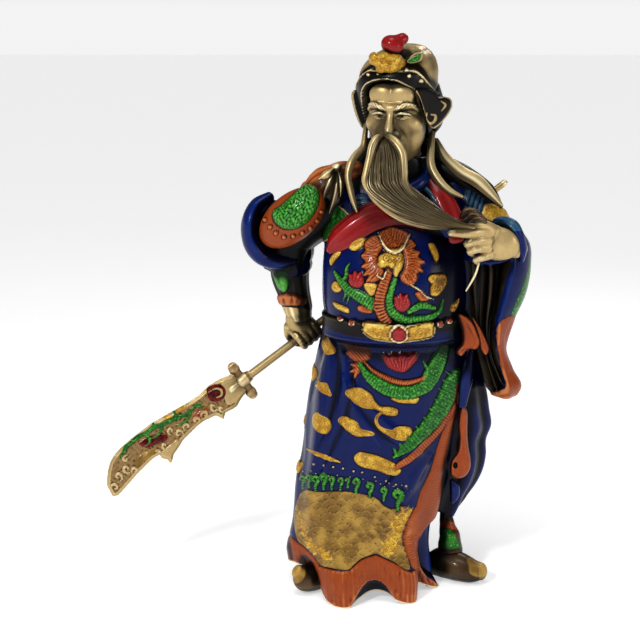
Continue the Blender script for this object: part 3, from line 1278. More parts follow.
HANGING_SLEEVE = [
    [36.9, 21.2, -3.2, 2.2, 4.2], [38.2, 20.8, -3.2, 3.2, 5.2], [41.4, 19.4, -3.0, 3.1, 5.8],
    [45, 18.2, -2.6, 3.1, 6.2], [50, 17.9, -2.2, 4.6, 6.8], [55, 18.6, -2.0, 6.1, 7.2],
    [60, 18.8, -2.0, 6.7, 7.4], [64, 18.5, -1.6, 6.7, 6.8], [68, 16.6, -0.6, 5.4, 5.8],
    [71.4, 14.6, 0.2, 4.6, 4.8], [74.6, 12.0, 0.4, 4.2, 3.6],
]
SLEEVE_HEM = [
    (497, 327), (502, 320), (509, 316), (530, 316), (532, 406), (478, 406), (480, 395), (489, 393),
    (497, 392), (504, 389), (506, 386), (506, 382), (503, 375), (500, 363), (498, 350), (496, 336),
]
SLEEVE_OUTSIDE = [
    (535, 250), (531, 252), (530, 262), (526, 276), (521, 291), (515, 304), (510, 317), (524, 320),
    (545, 290), (545, 250),
]
SLEEVE_MOUTH = [
    (462, 258), (480, 264), (500, 263), (515, 258), (514, 268), (511, 280), (508, 293), (504, 306),
    (500, 320), (499, 336), (500, 350), (503, 364), (506, 375), (508, 384), (507, 390), (497, 394),
    (488, 394), (478, 386), (466, 360), (460, 320),
]


def sleeve_outer_art(canvas):
    canvas.fill("green", SLEEVE_OUTSIDE, 0.08, soft=4)
    canvas.fill("orange", SLEEVE_HEM, 0.16, soft=5, wash=0.12)
    canvas.crease([(512, 318), (506, 335), (506, 352), (511, 372)], [1.0, 2.4, 2.4, 1.0], 0.12, 0.0)


SLEEVE_CLOUD = [
    (480, 207), (487, 204), (496, 204), (504, 208), (509, 214), (505, 221), (495, 222), (485, 218),
]
SLEEVE_TEAL = [(466, 188), (474, 185), (482, 190), (484, 200), (482, 212), (474, 214), (467, 208)]


def sleeve_shoulder_art(canvas):
    canvas.blob("gold", SLEEVE_CLOUD, texture=hammered(canvas.at, 0.035))
    canvas.blob("teal", SLEEVE_TEAL, 0.12, texture=fine_lines(canvas.at, 0.3, 5.0, 0.1))


def left_sleeve():
    a, z = ring_grid(HANGING_SLEEVE, 230, 290)
    outer = 0.22 * np.cos(5 * a) * (1 - smooth(46, 60, z))
    at = seen(wall_point(HANGING_SLEEVE, a, z, outer)).reshape(-1, 2)
    mouth = -outline_distance(at, SLEEVE_MOUTH).reshape(a.shape) * (np.abs(a) < 1.9)
    hollow = smooth(0, 5, mouth)
    folds = 0.25 * np.cos(10 * a + 0.08 * z) + 0.12 * np.cos(19 * a + 1.0)
    depth = level_at(HANGING_SLEEVE, z)[..., 3]
    base = wall_point(HANGING_SLEEVE, a, z, outer - hollow * (0.55 + folds) * depth * 0.7)
    shaped, fields = drawn(base, sleeve_outer_art, -0.4)
    shaped, upper = drawn(shaped, sleeve_shoulder_art, 0.25)
    fields.update({name: upper[name] for name in ("gold", "teal")})
    inner = bounded((hollow - 0.3) * 9)
    fields.update({name: np.minimum(fields[name], -inner) for name in ENAMELS if name in fields})
    return tube(shaped, **{**fields, "dark": inner})


def left_cuff():
    made = swept_in_view([(496, 222, -9.4, 0.7, 0.7), (505, 222.5, -10.8, 1.0, 1.0),
                          (513, 227, -11.8, 1.1, 1.2), (518.5, 236, -12.0, 1.0, 1.2),
                          (521.5, 247, -11.4, 1.0, 1.2), (521, 259, -10.0, 0.6, 0.8)],
                         sides=60, steps=100, ripple=creased(3, 0.05, 3))
    made.fields["blue"] = bounded((seen(made.points)[:, 1] - 231) * 0.5)
    return made


# The left hand: each finger as places in the reference view with their depths and radii, and its blend.
FINGERS = [
    ([(489, 232, -13.2, 1.2), (477, 232, -14.7, 1.0), (465, 233, -15.7, 0.86), (451, 233, -16.2, 0.56)], 0.3),
    ([(487, 240.5, -13.7, 1.05), (477, 240.5, -14.8, 0.84), (468, 243.5, -14.7, 0.72),
      (468.5, 246.5, -13.9, 0.52)], 0.3),
    ([(487, 247.5, -13.6, 1.0), (477.5, 248.5, -14.5, 0.78), (470.5, 251.5, -14.2, 0.66),
      (472, 254, -13.4, 0.48)], 0.3),
    ([(489, 254.5, -13.0, 0.9), (482, 257.5, -13.7, 0.7), (476, 260, -13.5, 0.56),
      (477.5, 262.5, -12.9, 0.42)], 0.3),
    ([(494, 231, -12.6, 1.1), (486, 226, -13.6, 0.9), (477, 224.5, -14.6, 0.75), (468, 226, -15.3, 0.5)],
     0.4),
]


def hand_field(p):
    made = egg(p, in_view((497, 243.5, -12.4)), [3.7, 1.45, 2.9], (0.1, 0.1, -0.2))
    wrist = in_view([(518, 248.5, -10.2), (511, 247, -11.2), (503, 245, -12.0)])
    made = join(made, worm(p, wrist, [1.65, 1.75, 1.8]), 0.9)
    for rows, soft in FINGERS:
        made = join(made, worm(p, in_view(rows), [row[3] for row in rows], 0, 14), soft)
    return join(made, egg(p, in_view((453, 231.6, -16.62)), [0.55, 0.16, 0.34]), 0.05)


def left_hand():
    return surface(hand_field, (8.6, -17.3, 61.0), (25.6, -4.8, 72.2), 0.13)


BEARD_CURLS = [
    [(461, 217, -14.6), (466, 212, -14.4), (474, 211.5, -14.0), (481, 216, -13.6)],
    [(463, 221.5, -15.0), (471, 216, -14.6), (479, 217.5, -14.2), (485, 222, -13.8)],
    [(468, 224, -15.2), (475, 220, -14.9), (483, 221.5, -14.4), (488, 227, -13.8)],
]


def beard_end():
    """The curled end of the beard over the hand."""
    half = [[0.35, 0.35], [0.6, 0.55], [0.55, 0.5], [0.25, 0.25]]

    def ripple(a, t):
        return 1 + 0.10 * np.cos(5 * a + 6 * t)
    return united(limb(in_view(row), half, sides=24, steps=60, ripple=ripple) for row in BEARD_CURLS)


def hand_cord():
    return swept_in_view([(479, 263, -12.6, 0.16, 0.16), (475, 275, -12.2, 0.2, 0.2),
                          (466, 291, -11.4, 0.12, 0.12)], sides=12, steps=40)


# Head and hat, in the head's own frame: face towards -Y, then turned and tipped

HEAD_CENTRE, HEAD_TURN = np.array([1.9, -3.6, 86.2]), turn_matrix((0.12, -0.03, -0.3))


def on_head(points):
    return np.asarray(points, float) @ HEAD_TURN.T + HEAD_CENTRE


EYE_X, EYE_Z = 2.0, 0.95


def face_base(p):
    made = egg(p, [0, 1.2, 3.0], [5.3, 6.0, 6.4])
    return join(made, egg(p, [0, -1.4, -0.7], [4.95, 5.0, 7.6]), 1.0)


def face_detail(p, made):
    side = np.stack([np.abs(p[..., 0]), p[..., 1], p[..., 2]], -1)
    made = join(made, egg(side, [3.1, -3.9, -0.7], [1.6, 1.5, 1.2]), 1.4)
    made = join(made, egg(side, [1.5, -5.0, 4.3], [2.4, 1.2, 1.9]), 1.4)
    ridge = [[0.0, -6.2, 2.2], [1.6, -6.3, 2.5], [3.4, -5.2, 2.5], [4.2, -4.2, 1.8]]
    made = join(made, worm(side, ridge, [0.4, 0.5, 0.4, 0.3], 0.1), 0.8)
    made = carve(made, egg(side, [EYE_X + 0.05, -6.8, EYE_Z], [1.55, 1.05, 0.78]), 0.7)
    made = join(made, egg(side, [EYE_X, -5.3, EYE_Z], [1.05, 0.85, 0.68]), 0.08)
    upper = [[0.75, -6.0, EYE_Z - 0.16], [1.35, -6.25, EYE_Z + 0.36], [2.1, -6.22, EYE_Z + 0.48],
             [2.9, -5.8, EYE_Z + 0.30], [3.5, -5.2, EYE_Z + 0.04]]
    lower = [[0.85, -5.98, EYE_Z - 0.26], [1.5, -6.1, EYE_Z - 0.50], [2.3, -6.02, EYE_Z - 0.52],
             [3.0, -5.55, EYE_Z - 0.26]]
    made = join(made, worm(side, upper, [0.16, 0.24, 0.27, 0.24, 0.12], 0.05), 0.12)
    made = join(made, worm(side, lower, [0.12, 0.15, 0.15, 0.10], 0.05), 0.12)
    nose = worm(p, [[0, -5.8, 2.3], [0, -6.45, 1.0], [0, -7.2, -0.5], [0, -7.75, -1.6]],
                [0.5, 0.46, 0.58, 0.78], 0.3)
    made = join(made, nose, 0.7)
    made = join(made, egg(side, [0.98, -6.75, -1.85], [0.6, 0.75, 0.52]), 0.3)
    made = carve(made, egg(side, [0.45, -7.2, -2.42], [0.28, 0.36, 0.2]), 0.12)
    fold = [[1.6, -6.3, -1.6], [2.5, -5.7, -2.9], [2.7, -5.2, -4.4]]
    made = carve(made, worm(side, fold, [0.1, 0.14, 0.08], 0.05), 0.5)
    made = join(made, egg(p, [0, -5.9, -3.7], [2.0, 0.9, 1.3]), 0.7)
    upper_lip = worm(side, [[0, -6.8, -3.7], [0.5, -6.85, -3.6], [1.5, -6.1, -3.9]], [0.28, 0.3, 0.1], 0.05)
    lower_lip = worm(side, [[0, -6.7, -4.35], [0.7, -6.55, -4.25], [1.4, -6.0, -4.0]], [0.38, 0.34, 0.1],
                     0.05)
    made = join(join(made, upper_lip, 0.15), lower_lip, 0.15)
    parting = [[0, -7.1, -4.0], [0.7, -7.0, -3.96], [1.6, -6.25, -3.95]]
    made = carve(made, worm(side, parting, [0.08, 0.08, 0.05]), 0.12)
    made = join(made, egg(p, [0, -5.2, -6.5], [1.6, 1.2, 1.3]), 0.9)
    brow = worm(side, [[0.8, -6.62, 2.0], [1.7, -6.85, 2.55], [2.9, -6.2, 2.95], [4.1, -4.9, 2.6]],
                [0.22, 0.38, 0.34, 0.1], 0.05)
    return join(made, brow + 0.06 * np.cos(11 * side[..., 0] - 9 * side[..., 2]), 0.14)


def head_field(p):
    made = face_base(p)
    near = np.abs(made) < 2.2
    near &= p[..., 1] < 0
    if near.any():
        made[near] = face_detail(p[near], made[near])
    return made


def face_lines(p):
    """The dark lines of the upper lids and the pupils, as values over 0 inside."""
    side = np.stack([np.abs(p[:, 0]), p[:, 1], p[:, 2]], -1)
    pupil = 0.27 - np.linalg.norm((side - [EYE_X - 0.05, -6.15, EYE_Z]) * [1, 0.5, 1], axis=1)
    lid = worm(side, [[0.9, -6.1, EYE_Z - 0.14], [1.4, -6.25, EYE_Z + 0.16], [2.1, -6.22, EYE_Z + 0.24],
                      [2.9, -5.8, EYE_Z + 0.1], [3.4, -5.3, EYE_Z - 0.08]], [0.08, 0.12, 0.12, 0.11, 0.05])
    return np.maximum(pupil, -lid) * 6


def head():
    made = surface(head_field, (-6.4, -8.8, -8.8), (6.4, 8.2, 10.2), 0.14)
    made.fields["dark"] = face_lines(made.points)
    made.points = on_head(made.points)
    return made + swept([[2.0, 0.2, 74, 4.4, 4.2], [2.1, -0.4, 78, 3.8, 3.8], [2.1, -1.2, 82, 3.7, 3.8],
                         [2.1, -1.4, 84, 3.4, 3.4]], sides=50, steps=30)


# The cap: a dark band with a raised trim, open over the face, under a brass dome.
CAP = [  # height, middle x, middle y, half width and half depth, in the head's frame
    [-5.6, 0.0, 2.4, 3.4, 3.2],
    [-3.5, -0.1, 2.1, 5.0, 4.7],
    [0.0, -0.3, 1.5, 6.2, 6.2],
    [3.0, -0.4, 1.1, 6.65, 7.2],
    [6.0, -0.4, 1.0, 6.8, 7.5],
    [8.0, -0.1, 1.1, 6.5, 7.1],
    [9.6, 0.3, 1.3, 5.5, 6.1],
    [10.9, 0.7, 1.5, 3.9, 4.4],
    [11.7, 0.9, 1.6, 2.0, 2.3],
    [11.95, 0.9, 1.6, 0.3, 0.3],
]
FACE_OPENING = [
    (367, 150), (365.5, 122), (362.5, 104), (362, 92), (366, 84.5), (374, 80.5), (384, 79), (393, 79.8),
    (401, 82.6), (409, 87), (414.5, 90.5), (417.5, 97), (419.5, 105), (422.5, 113), (426.5, 122), (431, 150),
]
CAP_STUDS = [
    ((368.5, 74.6), 1.7), ((409.2, 76), 2.0), ((421, 81.5), 2.4), ((406, 70), 2.6), ((378, 74), 1.2),
    ((429, 90), 1.5),
]


def cap_art(canvas):
    opening = outline_distance(canvas.at, FACE_OPENING)
    canvas.lay("dark", opening, -2.4, soft=3)
    canvas.stroke("brass", FACE_OPENING[1:-1], [1.2] * (len(FACE_OPENING) - 2), 0.34)
    for place, radius in CAP_STUDS:
        canvas.spot("brass", place, radius, 0.36)


def trim_height(a):
    turned = np.abs((a + math.pi) % TURN - math.pi)
    return 8.5 - 4.6 * smooth(0.5, 1.55, turned)


def cap():
    a, z = ring_grid(CAP, 240, 310)
    above = z - trim_height(a)
    trim = np.clip(0.24 - np.abs(above), -2, 1)
    band = 0.3 * (1 - smooth(-0.1, 0.1, above)) + 0.28 * np.sqrt(np.clip(trim / 0.24, 0, 1))
    ribs_up = 0.06 * np.cos(12 * a) * smooth(0.3, 1.5, above)
    shaped, fields = drawn(on_head(wall_point(CAP, a, z, band + ribs_up)), cap_art)
    laid = fields["brass"]
    fields["brass"] = np.maximum(laid, trim * 6)
    fields["dark"] = np.maximum(np.minimum(-above * 6, -laid), np.minimum(fields["dark"], -laid))
    fields["dark"] = np.where(trim > 0, OUTSIDE, fields["dark"])
    worn = 0.75 * smooth(2.4, 0.3, above) + 0.3 * smooth(0.4, 2.2, a) + 0.3
    fields["crease"] = np.where(above > 0.3, worn, 0.5 * fields["crease"])
    return tube(shaped, **fields)


FLAP = [
    (415.5, 90.5), (419.6, 99), (422.6, 108), (425, 116.5), (428, 124.5), (432.6, 128.5), (438, 126),
    (447, 116), (452, 107), (451.4, 100), (446, 96.4), (439.5, 97.2), (436.5, 93), (427, 88),
]
LEFT_FLAP = [
    (354.5, 90), (351.6, 94), (352.2, 101), (354.6, 111), (358.4, 121.5), (363.5, 129), (368.5, 130),
    (366.8, 119), (364, 106), (362, 94), (358.5, 90.4),
]


def rimmed(outline, wide, raised):
    def art(canvas):
        distance = outline_distance(canvas.at, rounded(outline))
        canvas.lay("brass", np.abs(distance + wide) - wide, raised, soft=wide)
    return art


def flap_art(canvas):
    canvas.stroke("brass", FLAP[:12], [1.3] * 12, 0.34)
    curl = [(427, 113), (426, 119), (430, 123.5), (435, 120.5), (435.5, 115.5), (431.5, 114.5)]
    canvas.stroke("brass", curl, [0.8, 1.2, 1.4, 1.5, 1.3, 0.9], 0.36)
    canvas.stroke("brass", [(441, 101), (445.5, 105), (441.5, 111)], [0.6, 1.2, 0.6], 0.2)


# The lining behind each flap, in the head's frame: x, y, z, half width and half thickness.
FLAP_LININGS = [
    [[-6.0, 1.6, 4.6, 0.6, 1.6], [-6.5, 2.4, 1.6, 0.7, 2.4], [-6.2, 2.8, -1.6, 0.7, 2.2],
     [-5.2, 2.6, -3.4, 0.5, 1.0]],
    [[6.0, 1.8, 4.6, 0.6, 1.6], [6.4, 2.6, 1.6, 0.7, 2.2], [6.2, 2.8, -1.6, 0.7, 2.0],
     [5.2, 2.6, -3.4, 0.5, 1.0]],
]


def flaps():
    right = plate(FLAP, lambda at: -10.5 + 0.17 * (at[:, 0] - 418), 0.7, flap_art)
    left = plate(LEFT_FLAP, lambda at: -2.6 - 0.05 * (at[:, 0] - 360), 0.7, rimmed(LEFT_FLAP, 1.1, 0.24))
    front = HEAD_TURN @ np.array((0, -1.0, 0))
    linings = [limb(on_head(rows[:, :3]), rows[:, 3:], front, 40, 50) for rows in np.array(FLAP_LININGS)]
    return united([right, left, *linings])


CLOUD = [
    (369, 56), (371, 53), (375, 52), (378, 54), (381, 52), (386, 52), (390, 54), (395, 54), (400, 55),
    (404, 59), (407, 62), (405, 67), (402, 69), (400, 71), (395, 72), (390, 73), (385, 72), (381, 73),
    (376, 71), (376, 67), (371, 64), (369, 61),
]
PUFFS = [(373, 57, 4, 3.6, 0.55), (381, 56, 4.6, 3.4, 0.6), (391, 58, 5, 3.6, 0.55), (400, 61, 5, 4, 0.6),
         (378, 65, 5, 4.4, 0.45), (386, 67, 5, 4.6, 0.6), (395, 66, 5, 4.6, 0.5)]


def cloud_art(canvas):
    canvas.blob("gold", CLOUD, 0.0, soft=2)
    canvas.creases = np.minimum(canvas.creases, 0.2)
    for x, y, wide, high, raised in PUFFS:
        d = np.hypot((canvas.at[:, 0] - x) / wide, (canvas.at[:, 1] - y) / high)
        canvas.height += raised * np.clip(1 - d * d, 0, 1) ** 0.7 * (0.85 + 0.15 * np.cos(d * 9))


def hat_cloud():
    return plate(CLOUD, lambda at: -10.9 + 0.004 * (at[:, 0] - 386) ** 2, 0.75, cloud_art, 0.6)


CREST_MIDDLE, CREST_BUD = in_view([(392.6, 45.6, -9.8), (402.6, 38.6, -9.4)])


def crest_field(p):
    made = egg(p, CREST_MIDDLE, [2.0, 1.7, 1.62], (0, 0.5, 0))
    q = p - CREST_MIDDLE
    u, v = q[..., 0] * 0.88 + q[..., 2] * 0.48, q[..., 2] * 0.88 - q[..., 0] * 0.48
    made = made - 0.022 * np.cos(u * 15) * np.cos(v * 15)
    stalk = [CREST_MIDDLE, in_view((398.0, 41.5, -9.6)), CREST_BUD]
    made = join(made, worm(p, stalk, [1.5, 1.15, 0.9]), 0.3)
    return join(made, egg(p, CREST_BUD, [0.98, 0.9, 0.86]), 0.25)


def crest():
    middle = in_view((396.5, 42.5, -9.6))
    return surface(crest_field, middle - [3.8, 2.8, 2.8], middle + [3.8, 2.8, 2.9], 0.11)


JEWEL = [
    (405.6, 62.6), (408.4, 57), (413, 53.4), (418.5, 51.8), (422.5, 52.4), (422.8, 57.5), (420.5, 62),
    (414.5, 64.4), (409, 64.6),
]


def jewel_art(canvas):
    canvas.blob("green", JEWEL, 0.1, soft=3)
    canvas.stroke("pearl", [(408.6, 60.5), (413, 57), (418, 55.6)], [0.3, 0.6, 0.3], 0.3)
    rimmed(JEWEL, 1.0, 0.3)(canvas)


def jewel():
    return plate(JEWEL, lambda at: -9.4 + 0.06 * (at[:, 0] - 414), 0.8, jewel_art, 0.5)


# Beard, hair and ribbons

def hair(through, half, facing=(0, -1, 0), count=9, deep=0.10, sides=120, steps=120, seed=0.0):
    """A lock with fine strands along it."""
    rings = limb_rings(through, half, facing, sides, steps, creased(3, 0.03, 2))
    a = (np.arange(rings.shape[1]) / rings.shape[1] * TURN)[None, :]
    t = np.linspace(0, 1, len(rings))[:, None]
    u = np.cos(a) * 0.5 + 0.06 * np.sin(5 * t + seed)
    wave = (np.cos(TURN * count * u + 1.5 * np.sin(4 * t + 3 * u + seed))
            + 0.6 * np.cos(TURN * count * 1.7 * u + 2.0 * np.sin(3 * t + seed))
            + 0.8 * np.cos(TURN * count * 0.45 * u + seed))
    width = curve([[h[0], 0] for h in half], t[:, 0])[:, :1]
    strength = smooth(0.1, 1.2, width) * (0.35 + 0.65 * np.abs(np.sin(a)))
    groove = 0.95 * smooth(-0.2, 1.6, -wave) * strength * (1.25 - 0.5 * t)
    return tube(rings + grid_normals(rings, True) * (deep * wave * strength)[..., None], crease=groove)


BEARD_LEFT = [
    (381, 139), (373, 149), (369, 162), (367, 175), (367, 187), (377, 197), (393, 207), (416, 217),
    (445, 226), (472, 229),
]
BEARD_RIGHT = [
    (387, 139), (396, 148), (401, 160), (403, 172), (405, 183), (412, 194), (425, 206), (441, 215),
    (456, 221), (475, 227),
]
BEARD_DEPTH = [-9.6, -11.0, -12.4, -13.3, -14.2, -14.9, -15.6, -16.05, -16.15, -15.6]


def beard_lock(low, high, forward, thick, count, seed):
    """A lock that runs between two shares of the beard's breadth."""
    left, right = np.array(BEARD_LEFT, float), np.array(BEARD_RIGHT, float)
    width = np.linalg.norm(right - left, axis=1) * (high - low) / 2 * PIXEL
    half = [[max(w, 0.25), thick * min(1.0, 0.35 + w)] for w in width]
    rows = sight(mix(left, right, (low + high) / 2), np.array(BEARD_DEPTH) + forward)
    return hair(rows, half, (-0.1, -1, 0.25), count, 0.09, 144, 180, seed)


def beard():
    locks = [beard_lock(0.0, 1.0, 1.0, 1.5, 15, 0.0)]
    for k, place in enumerate(((-0.04, 0.3, 0.0), (0.2, 0.55, -0.35), (0.45, 0.8, -0.25), (0.7, 1.04, 0.05))):
        locks.append(beard_lock(*place, 0.9, 6, 1.3 * k))
    return united(locks)


LEFT_STRAND = [(383, 135), (377, 138), (373, 145), (370, 158), (367, 170), (365, 181), (369, 190), (379, 198)]
RIGHT_STRAND = [
    (385, 135), (391, 138), (397, 144), (402, 153), (404, 170), (405, 182), (411, 193), (423, 203),
]
STRAND_SIZES = [0.3, 0.6, 0.72, 0.66, 0.6, 0.55, 0.5, 0.2]


def strand(pixels, tip):
    depths = np.linspace(-10.6, tip, len(pixels)) - 0.9 * np.sin(np.linspace(0, math.pi, len(pixels)))
    half = [[size, size * 0.9] for size in STRAND_SIZES]
    return hair(sight(pixels, depths), half, (0, -1, 0), 4, 0.05, 50, 140, tip)


def moustache():
    return strand(LEFT_STRAND, -14.6) + strand(RIGHT_STRAND, -15.6)


def ribbon(pixels, depths, widths, thick=0.45, facing=(0, -1, 0), flute=0.05):
    half = [[w * PIXEL, thick] for w in widths]
    return limb(sight(pixels, depths), half, facing, 40, 30 * len(pixels),
                lambda a, t: 1 + flute * np.cos(4 * a))


# Ribbons of the hat: pixels, depths, widths, thickness and how deeply they are fluted.
HAT_RIBBONS = [
    ([(366, 124), (365, 135), (363, 147), (356, 155), (351, 163), (348, 176), (350, 188), (353, 200),
      (357, 212)],
     np.linspace(-4.0, -8.6, 9), [2.0, 2.6, 3.0, 3.4, 3.4, 3.2, 3.0, 2.6, 1.0], 0.45, 0.05),
    ([(433, 128), (431, 145), (431, 165), (437, 178), (449, 191), (462, 197)],
     [-3.0, -4.0, -5.4, -6.4, -7.4, -7.8], [2.6, 3.2, 3.6, 3.8, 3.4, 1.6], 0.45, 0.08),
    ([(436, 140), (446, 158), (461, 172), (477, 181), (489, 192), (501, 205)],
     [-1.8, -2.8, -3.8, -4.6, -5.2, -5.6], [2.4, 4.2, 5.4, 5.6, 4.4, 1.8], 0.55, 0.10),
]


def hat_ribbons():
    return united(ribbon(pixels, depths, widths, thick, flute=flute)
                  for pixels, depths, widths, thick, flute in HAT_RIBBONS)


def drapes():
    right = swept([[6.4, 1.6, 81.8, 1.8, 1.0], [9.2, -0.2, 78.2, 2.2, 1.2], [13.4, -1.4, 75.6, 2.6, 1.3],
                   [17.2, -2.0, 73.0, 2.2, 1.1], [19.6, -2.6, 70.2, 0.9, 0.7]], (0.3, -0.6, 1), 60, 80,
                  creased(5, 0.06, 3))
    left = swept([[-2.6, 1.0, 81.0, 1.6, 1.1], [-5.4, -0.4, 77.2, 1.9, 1.2], [-8.6, -2.2, 75.0, 2.0, 1.1],
                  [-11.0, -3.4, 73.0, 0.8, 0.7]], (-0.3, -0.6, 1), 60, 80, creased(5, 0.06, 2))
    return right + left


def back_hair():
    return hair([[1.8, 1.6, 87], [2.0, 3.4, 80], [2.2, 6.2, 72], [2.2, 7.4, 62]],
                [[4.4, 2.4], [4.8, 2.4], [4.4, 1.6], [2.0, 0.8]], (0, 1, 0), 12, 0.1, 200, 160, 2.0)


KNOT_LEAVES = [
    ([(337, 169), (331, 179), (325.5, 191), (323, 203)], [1.2, 3.0, 2.8, 0.8]),
    ([(338, 170), (337, 185), (334, 199), (330, 213)], [1.2, 3.2, 3.0, 0.8]),
    ([(336, 168), (327, 174), (319, 180)], [1.4, 3.4, 0.8]),
    ([(338, 170), (341, 183), (341, 196)], [1.2, 2.8, 0.8]),
]


def knot():
    made = []
    for k, (pixels, widths) in enumerate(KNOT_LEAVES):
        depths = [-4.4 - 0.3 * k] + [-6.4 - 0.2 * k] * (len(pixels) - 1)
        made.append(ribbon(pixels, depths, widths, 0.4, (-0.2, -1, 0.3), 0.12))
    made.append(tube(ball_rings(in_view((337, 168, -5.4)), [0.9, 0.8, 0.8], (0, 0, 0), 32, 20)))
    return united(made)


HIP_RIBBONS = [
    ([(458, 314), (465, 316), (472, 322), (477, 332), (480, 343), (476, 349), (468, 349), (461, 356),
      (456, 352), (462, 343), (462, 331)], -8.6),
    ([(472, 317), (479, 325), (485, 337), (489, 349), (486, 355), (481, 351), (478, 340)], -8.0),
]
HIP_CREASES = [[(462, 318), (470, 330), (476, 342)], [(467, 347), (463, 350), (459, 353)],
               [(475, 320), (482, 335), (485.5, 349)]]


def hip_art(canvas):
    for rows in HIP_CREASES:
        canvas.crease(rows, [0.6, 1.3, 0.6], 0.2)


def hip_knots():
    return united(plate(outline, depth, 0.6, hip_art) for outline, depth in HIP_RIBBONS)


# Rear robe, side ribbon and boots

REAR_EDGE = [
    (459, 506), (464, 499), (468, 492), (476, 480), (482, 467), (485, 452), (485, 436), (490, 421),
    (488, 405), (486, 390), (480, 360), (470, 320),
]
REAR_LEFT, REAR_DEPTH = 5.6, 3.4


def rear_levels():
    """The level rings of the rear robe, whose right side shows the edge above."""
    rows = sight(REAR_EDGE, REAR_DEPTH)
    return [[z, (x + REAR_LEFT) / 2, REAR_DEPTH - 0.05 * (z - 14),
             (x - REAR_LEFT) / 2, 3.6 + 0.1 * min(z - 12, 20)] for x, _, z in rows]


def rear_robe():
    levels = rear_levels()
    a, z = ring_grid(levels, 180, 220)
    away = 1 - np.exp(-((a - 1.57) / 0.3) ** 2)
    out = 0.38 * np.cos(8 * a + 0.4 + 0.05 * z) * (1 - smooth(30, 48, z)) * away
    lift = (1 - smooth(12, 17, z)) * np.cos(3 * a + 1.2)
    return tube(wall_point(levels, a, z, out, lift), crease=0.56 + 0.05 * np.cos(8 * a + 3.5 + 0.05 * z))


SIDE_RIBBON = [
    (460, 408), (463, 404), (467, 412), (467, 430), (468, 446), (470, 458), (470, 468), (465, 476),
    (457, 478), (451, 475), (450, 467), (452, 459), (457, 452), (459, 440), (458, 424),
]


def side_ribbon_art(canvas):
    canvas.lay("dark", np.hypot(canvas.at[:, 0] - 455.4, (canvas.at[:, 1] - 465.4) / 1.4) - 2.4, -0.5, soft=2)
    canvas.crease([(462, 412), (461, 430), (463, 446), (465, 456)], [0.5, 0.9, 0.9, 0.5], 0.14)


def side_ribbon():
    strap = swept([[14.9, -5.2, 45, 0.9, 0.6], [14.2, -6.2, 40, 1.2, 0.6], [13.6, -5.8, 35, 0.8, 0.5]],
                  (0.3, -1, 0), 40, 60)
    end = swept_in_view([(452, 481, -3.4, 0.5, 0.6), (454.5, 488, -3.4, 0.95, 0.8),
                         (454.5, 495, -3.4, 0.9, 0.7), (452, 502, -3.4, 0.4, 0.4)],
                        (0.3, -1, 0), 40, 50)
    for part in (strap, end):
        part.fields["blue"] = np.full(len(part.points), HIDDEN)
    return united([plate(SIDE_RIBBON, -5.0, 0.8, side_ribbon_art), strap, end])


GREEN_BAND = [(436, 531), (444, 529), (451, 530), (456, 538), (462, 547), (455, 549), (446, 549), (436, 547)]
TOE_CAP = [(467, 559), (474, 557), (484, 555), (492, 560), (492, 574), (478, 577), (470, 573), (469, 566)]
SHIN = [(445.5, 498, 1.4, 7.5), (446, 512, 1.2, 6.5), (447, 524, 0.8, 8.0), (449.5, 536, 0.4, 11.0),
        (450, 550, 0.2, 13.0)]  # pixel x and y, depth and half width in pixels


def boots():
    shin = limb(in_view(SHIN), [[row[3] * PIXEL, row[3] * 0.17] for row in SHIN], sides=80, steps=90,
                ripple=lambda a, t: 1 + 0.025 * np.cos(24 * t + 2 * np.cos(a)))
    foot = swept([[8.8, 1.4, 2.0, 2.0, 1.9], [11.4, 0.0, 2.9, 2.7, 2.9], [13.9, -1.5, 2.8, 2.8, 2.75],
                  [16.3, -2.6, 2.4, 2.4, 2.3], [18.0, -3.3, 2.5, 1.6, 1.7]], (0, 0, 1), 90, 110)
    toe = swept([[-11.0, -5.0, 2.5, 2.2, 2.4], [-14.2, -7.2, 3.0, 2.2, 2.6], [-15.8, -8.2, 4.6, 1.1, 1.3]],
                (0, 0, 1), 70, 70)
    for part in (shin, foot, toe):
        part.points[:, 2] = np.maximum(part.points[:, 2], 0.02)
        at = seen(part.points)
        cap = np.hypot((at[:, 0] - 296) * 1.15, (at[:, 1] - 571) * 0.9)
        part.fields["tan"] = np.maximum(-outline_distance(at, rounded(TOE_CAP)), bounded(11 - cap)) / 5
        part.fields["dark"] = bounded((1.5 - part.points[:, 2]) * 6)
        if part is not toe:
            part.fields["green"] = -outline_distance(at, GREEN_BAND)
    at = seen(shin.points)
    shin.fields["orange"] = bounded(3.6 - np.abs(at[:, 1] - 524 - 0.2 * (at[:, 0] - 445)))
    return united([shin, foot, toe])


# Glaive

BLADE_OUTLINE = [
    (229, 376), (233, 372), (239, 373), (250, 389), (247, 393), (243, 397), (237, 407), (232, 410),
    (226, 413), (225, 416), (224, 420), (219, 417), (216, 416), (205, 421), (197, 427), (193, 431),
    (188, 436), (183, 441), (179, 448), (174, 455), (173, 460), (171, 464), (168, 460), (162, 459),
    (160, 455), (152, 460), (144, 468), (137, 475), (131, 482), (124, 490), (118, 496), (113, 497),
    (110, 492), (107, 486), (107, 479), (108, 471), (110, 463), (114, 456), (120, 449), (128, 442),
    (139, 433), (151, 424), (165, 416), (179, 408), (190, 402), (200, 395), (209, 386), (221, 379),
]
SHAFT_DIAMETER, BUTT_DIAMETER, SHAFT_LENGTH, GRIP_TO_GUARD = 4.6, 3.8, 187, 43
BLADE_THICKNESS = 3.4
GUARD_LENGTH, SOCKET_LENGTH = 23.5, 20


def on_glaive(points):
    """From the glaive's millimetres: +X blade to butt, -Y to the viewer, +Z up, 0 at the guard."""
    points = np.asarray(points, float) / 3
    x, y, z = points[..., 0:1], points[..., 1:2], points[..., 2:3]
    return GRIP + (x - GRIP_TO_GUARD / 3) * ALONG - y * OUT + z * UP


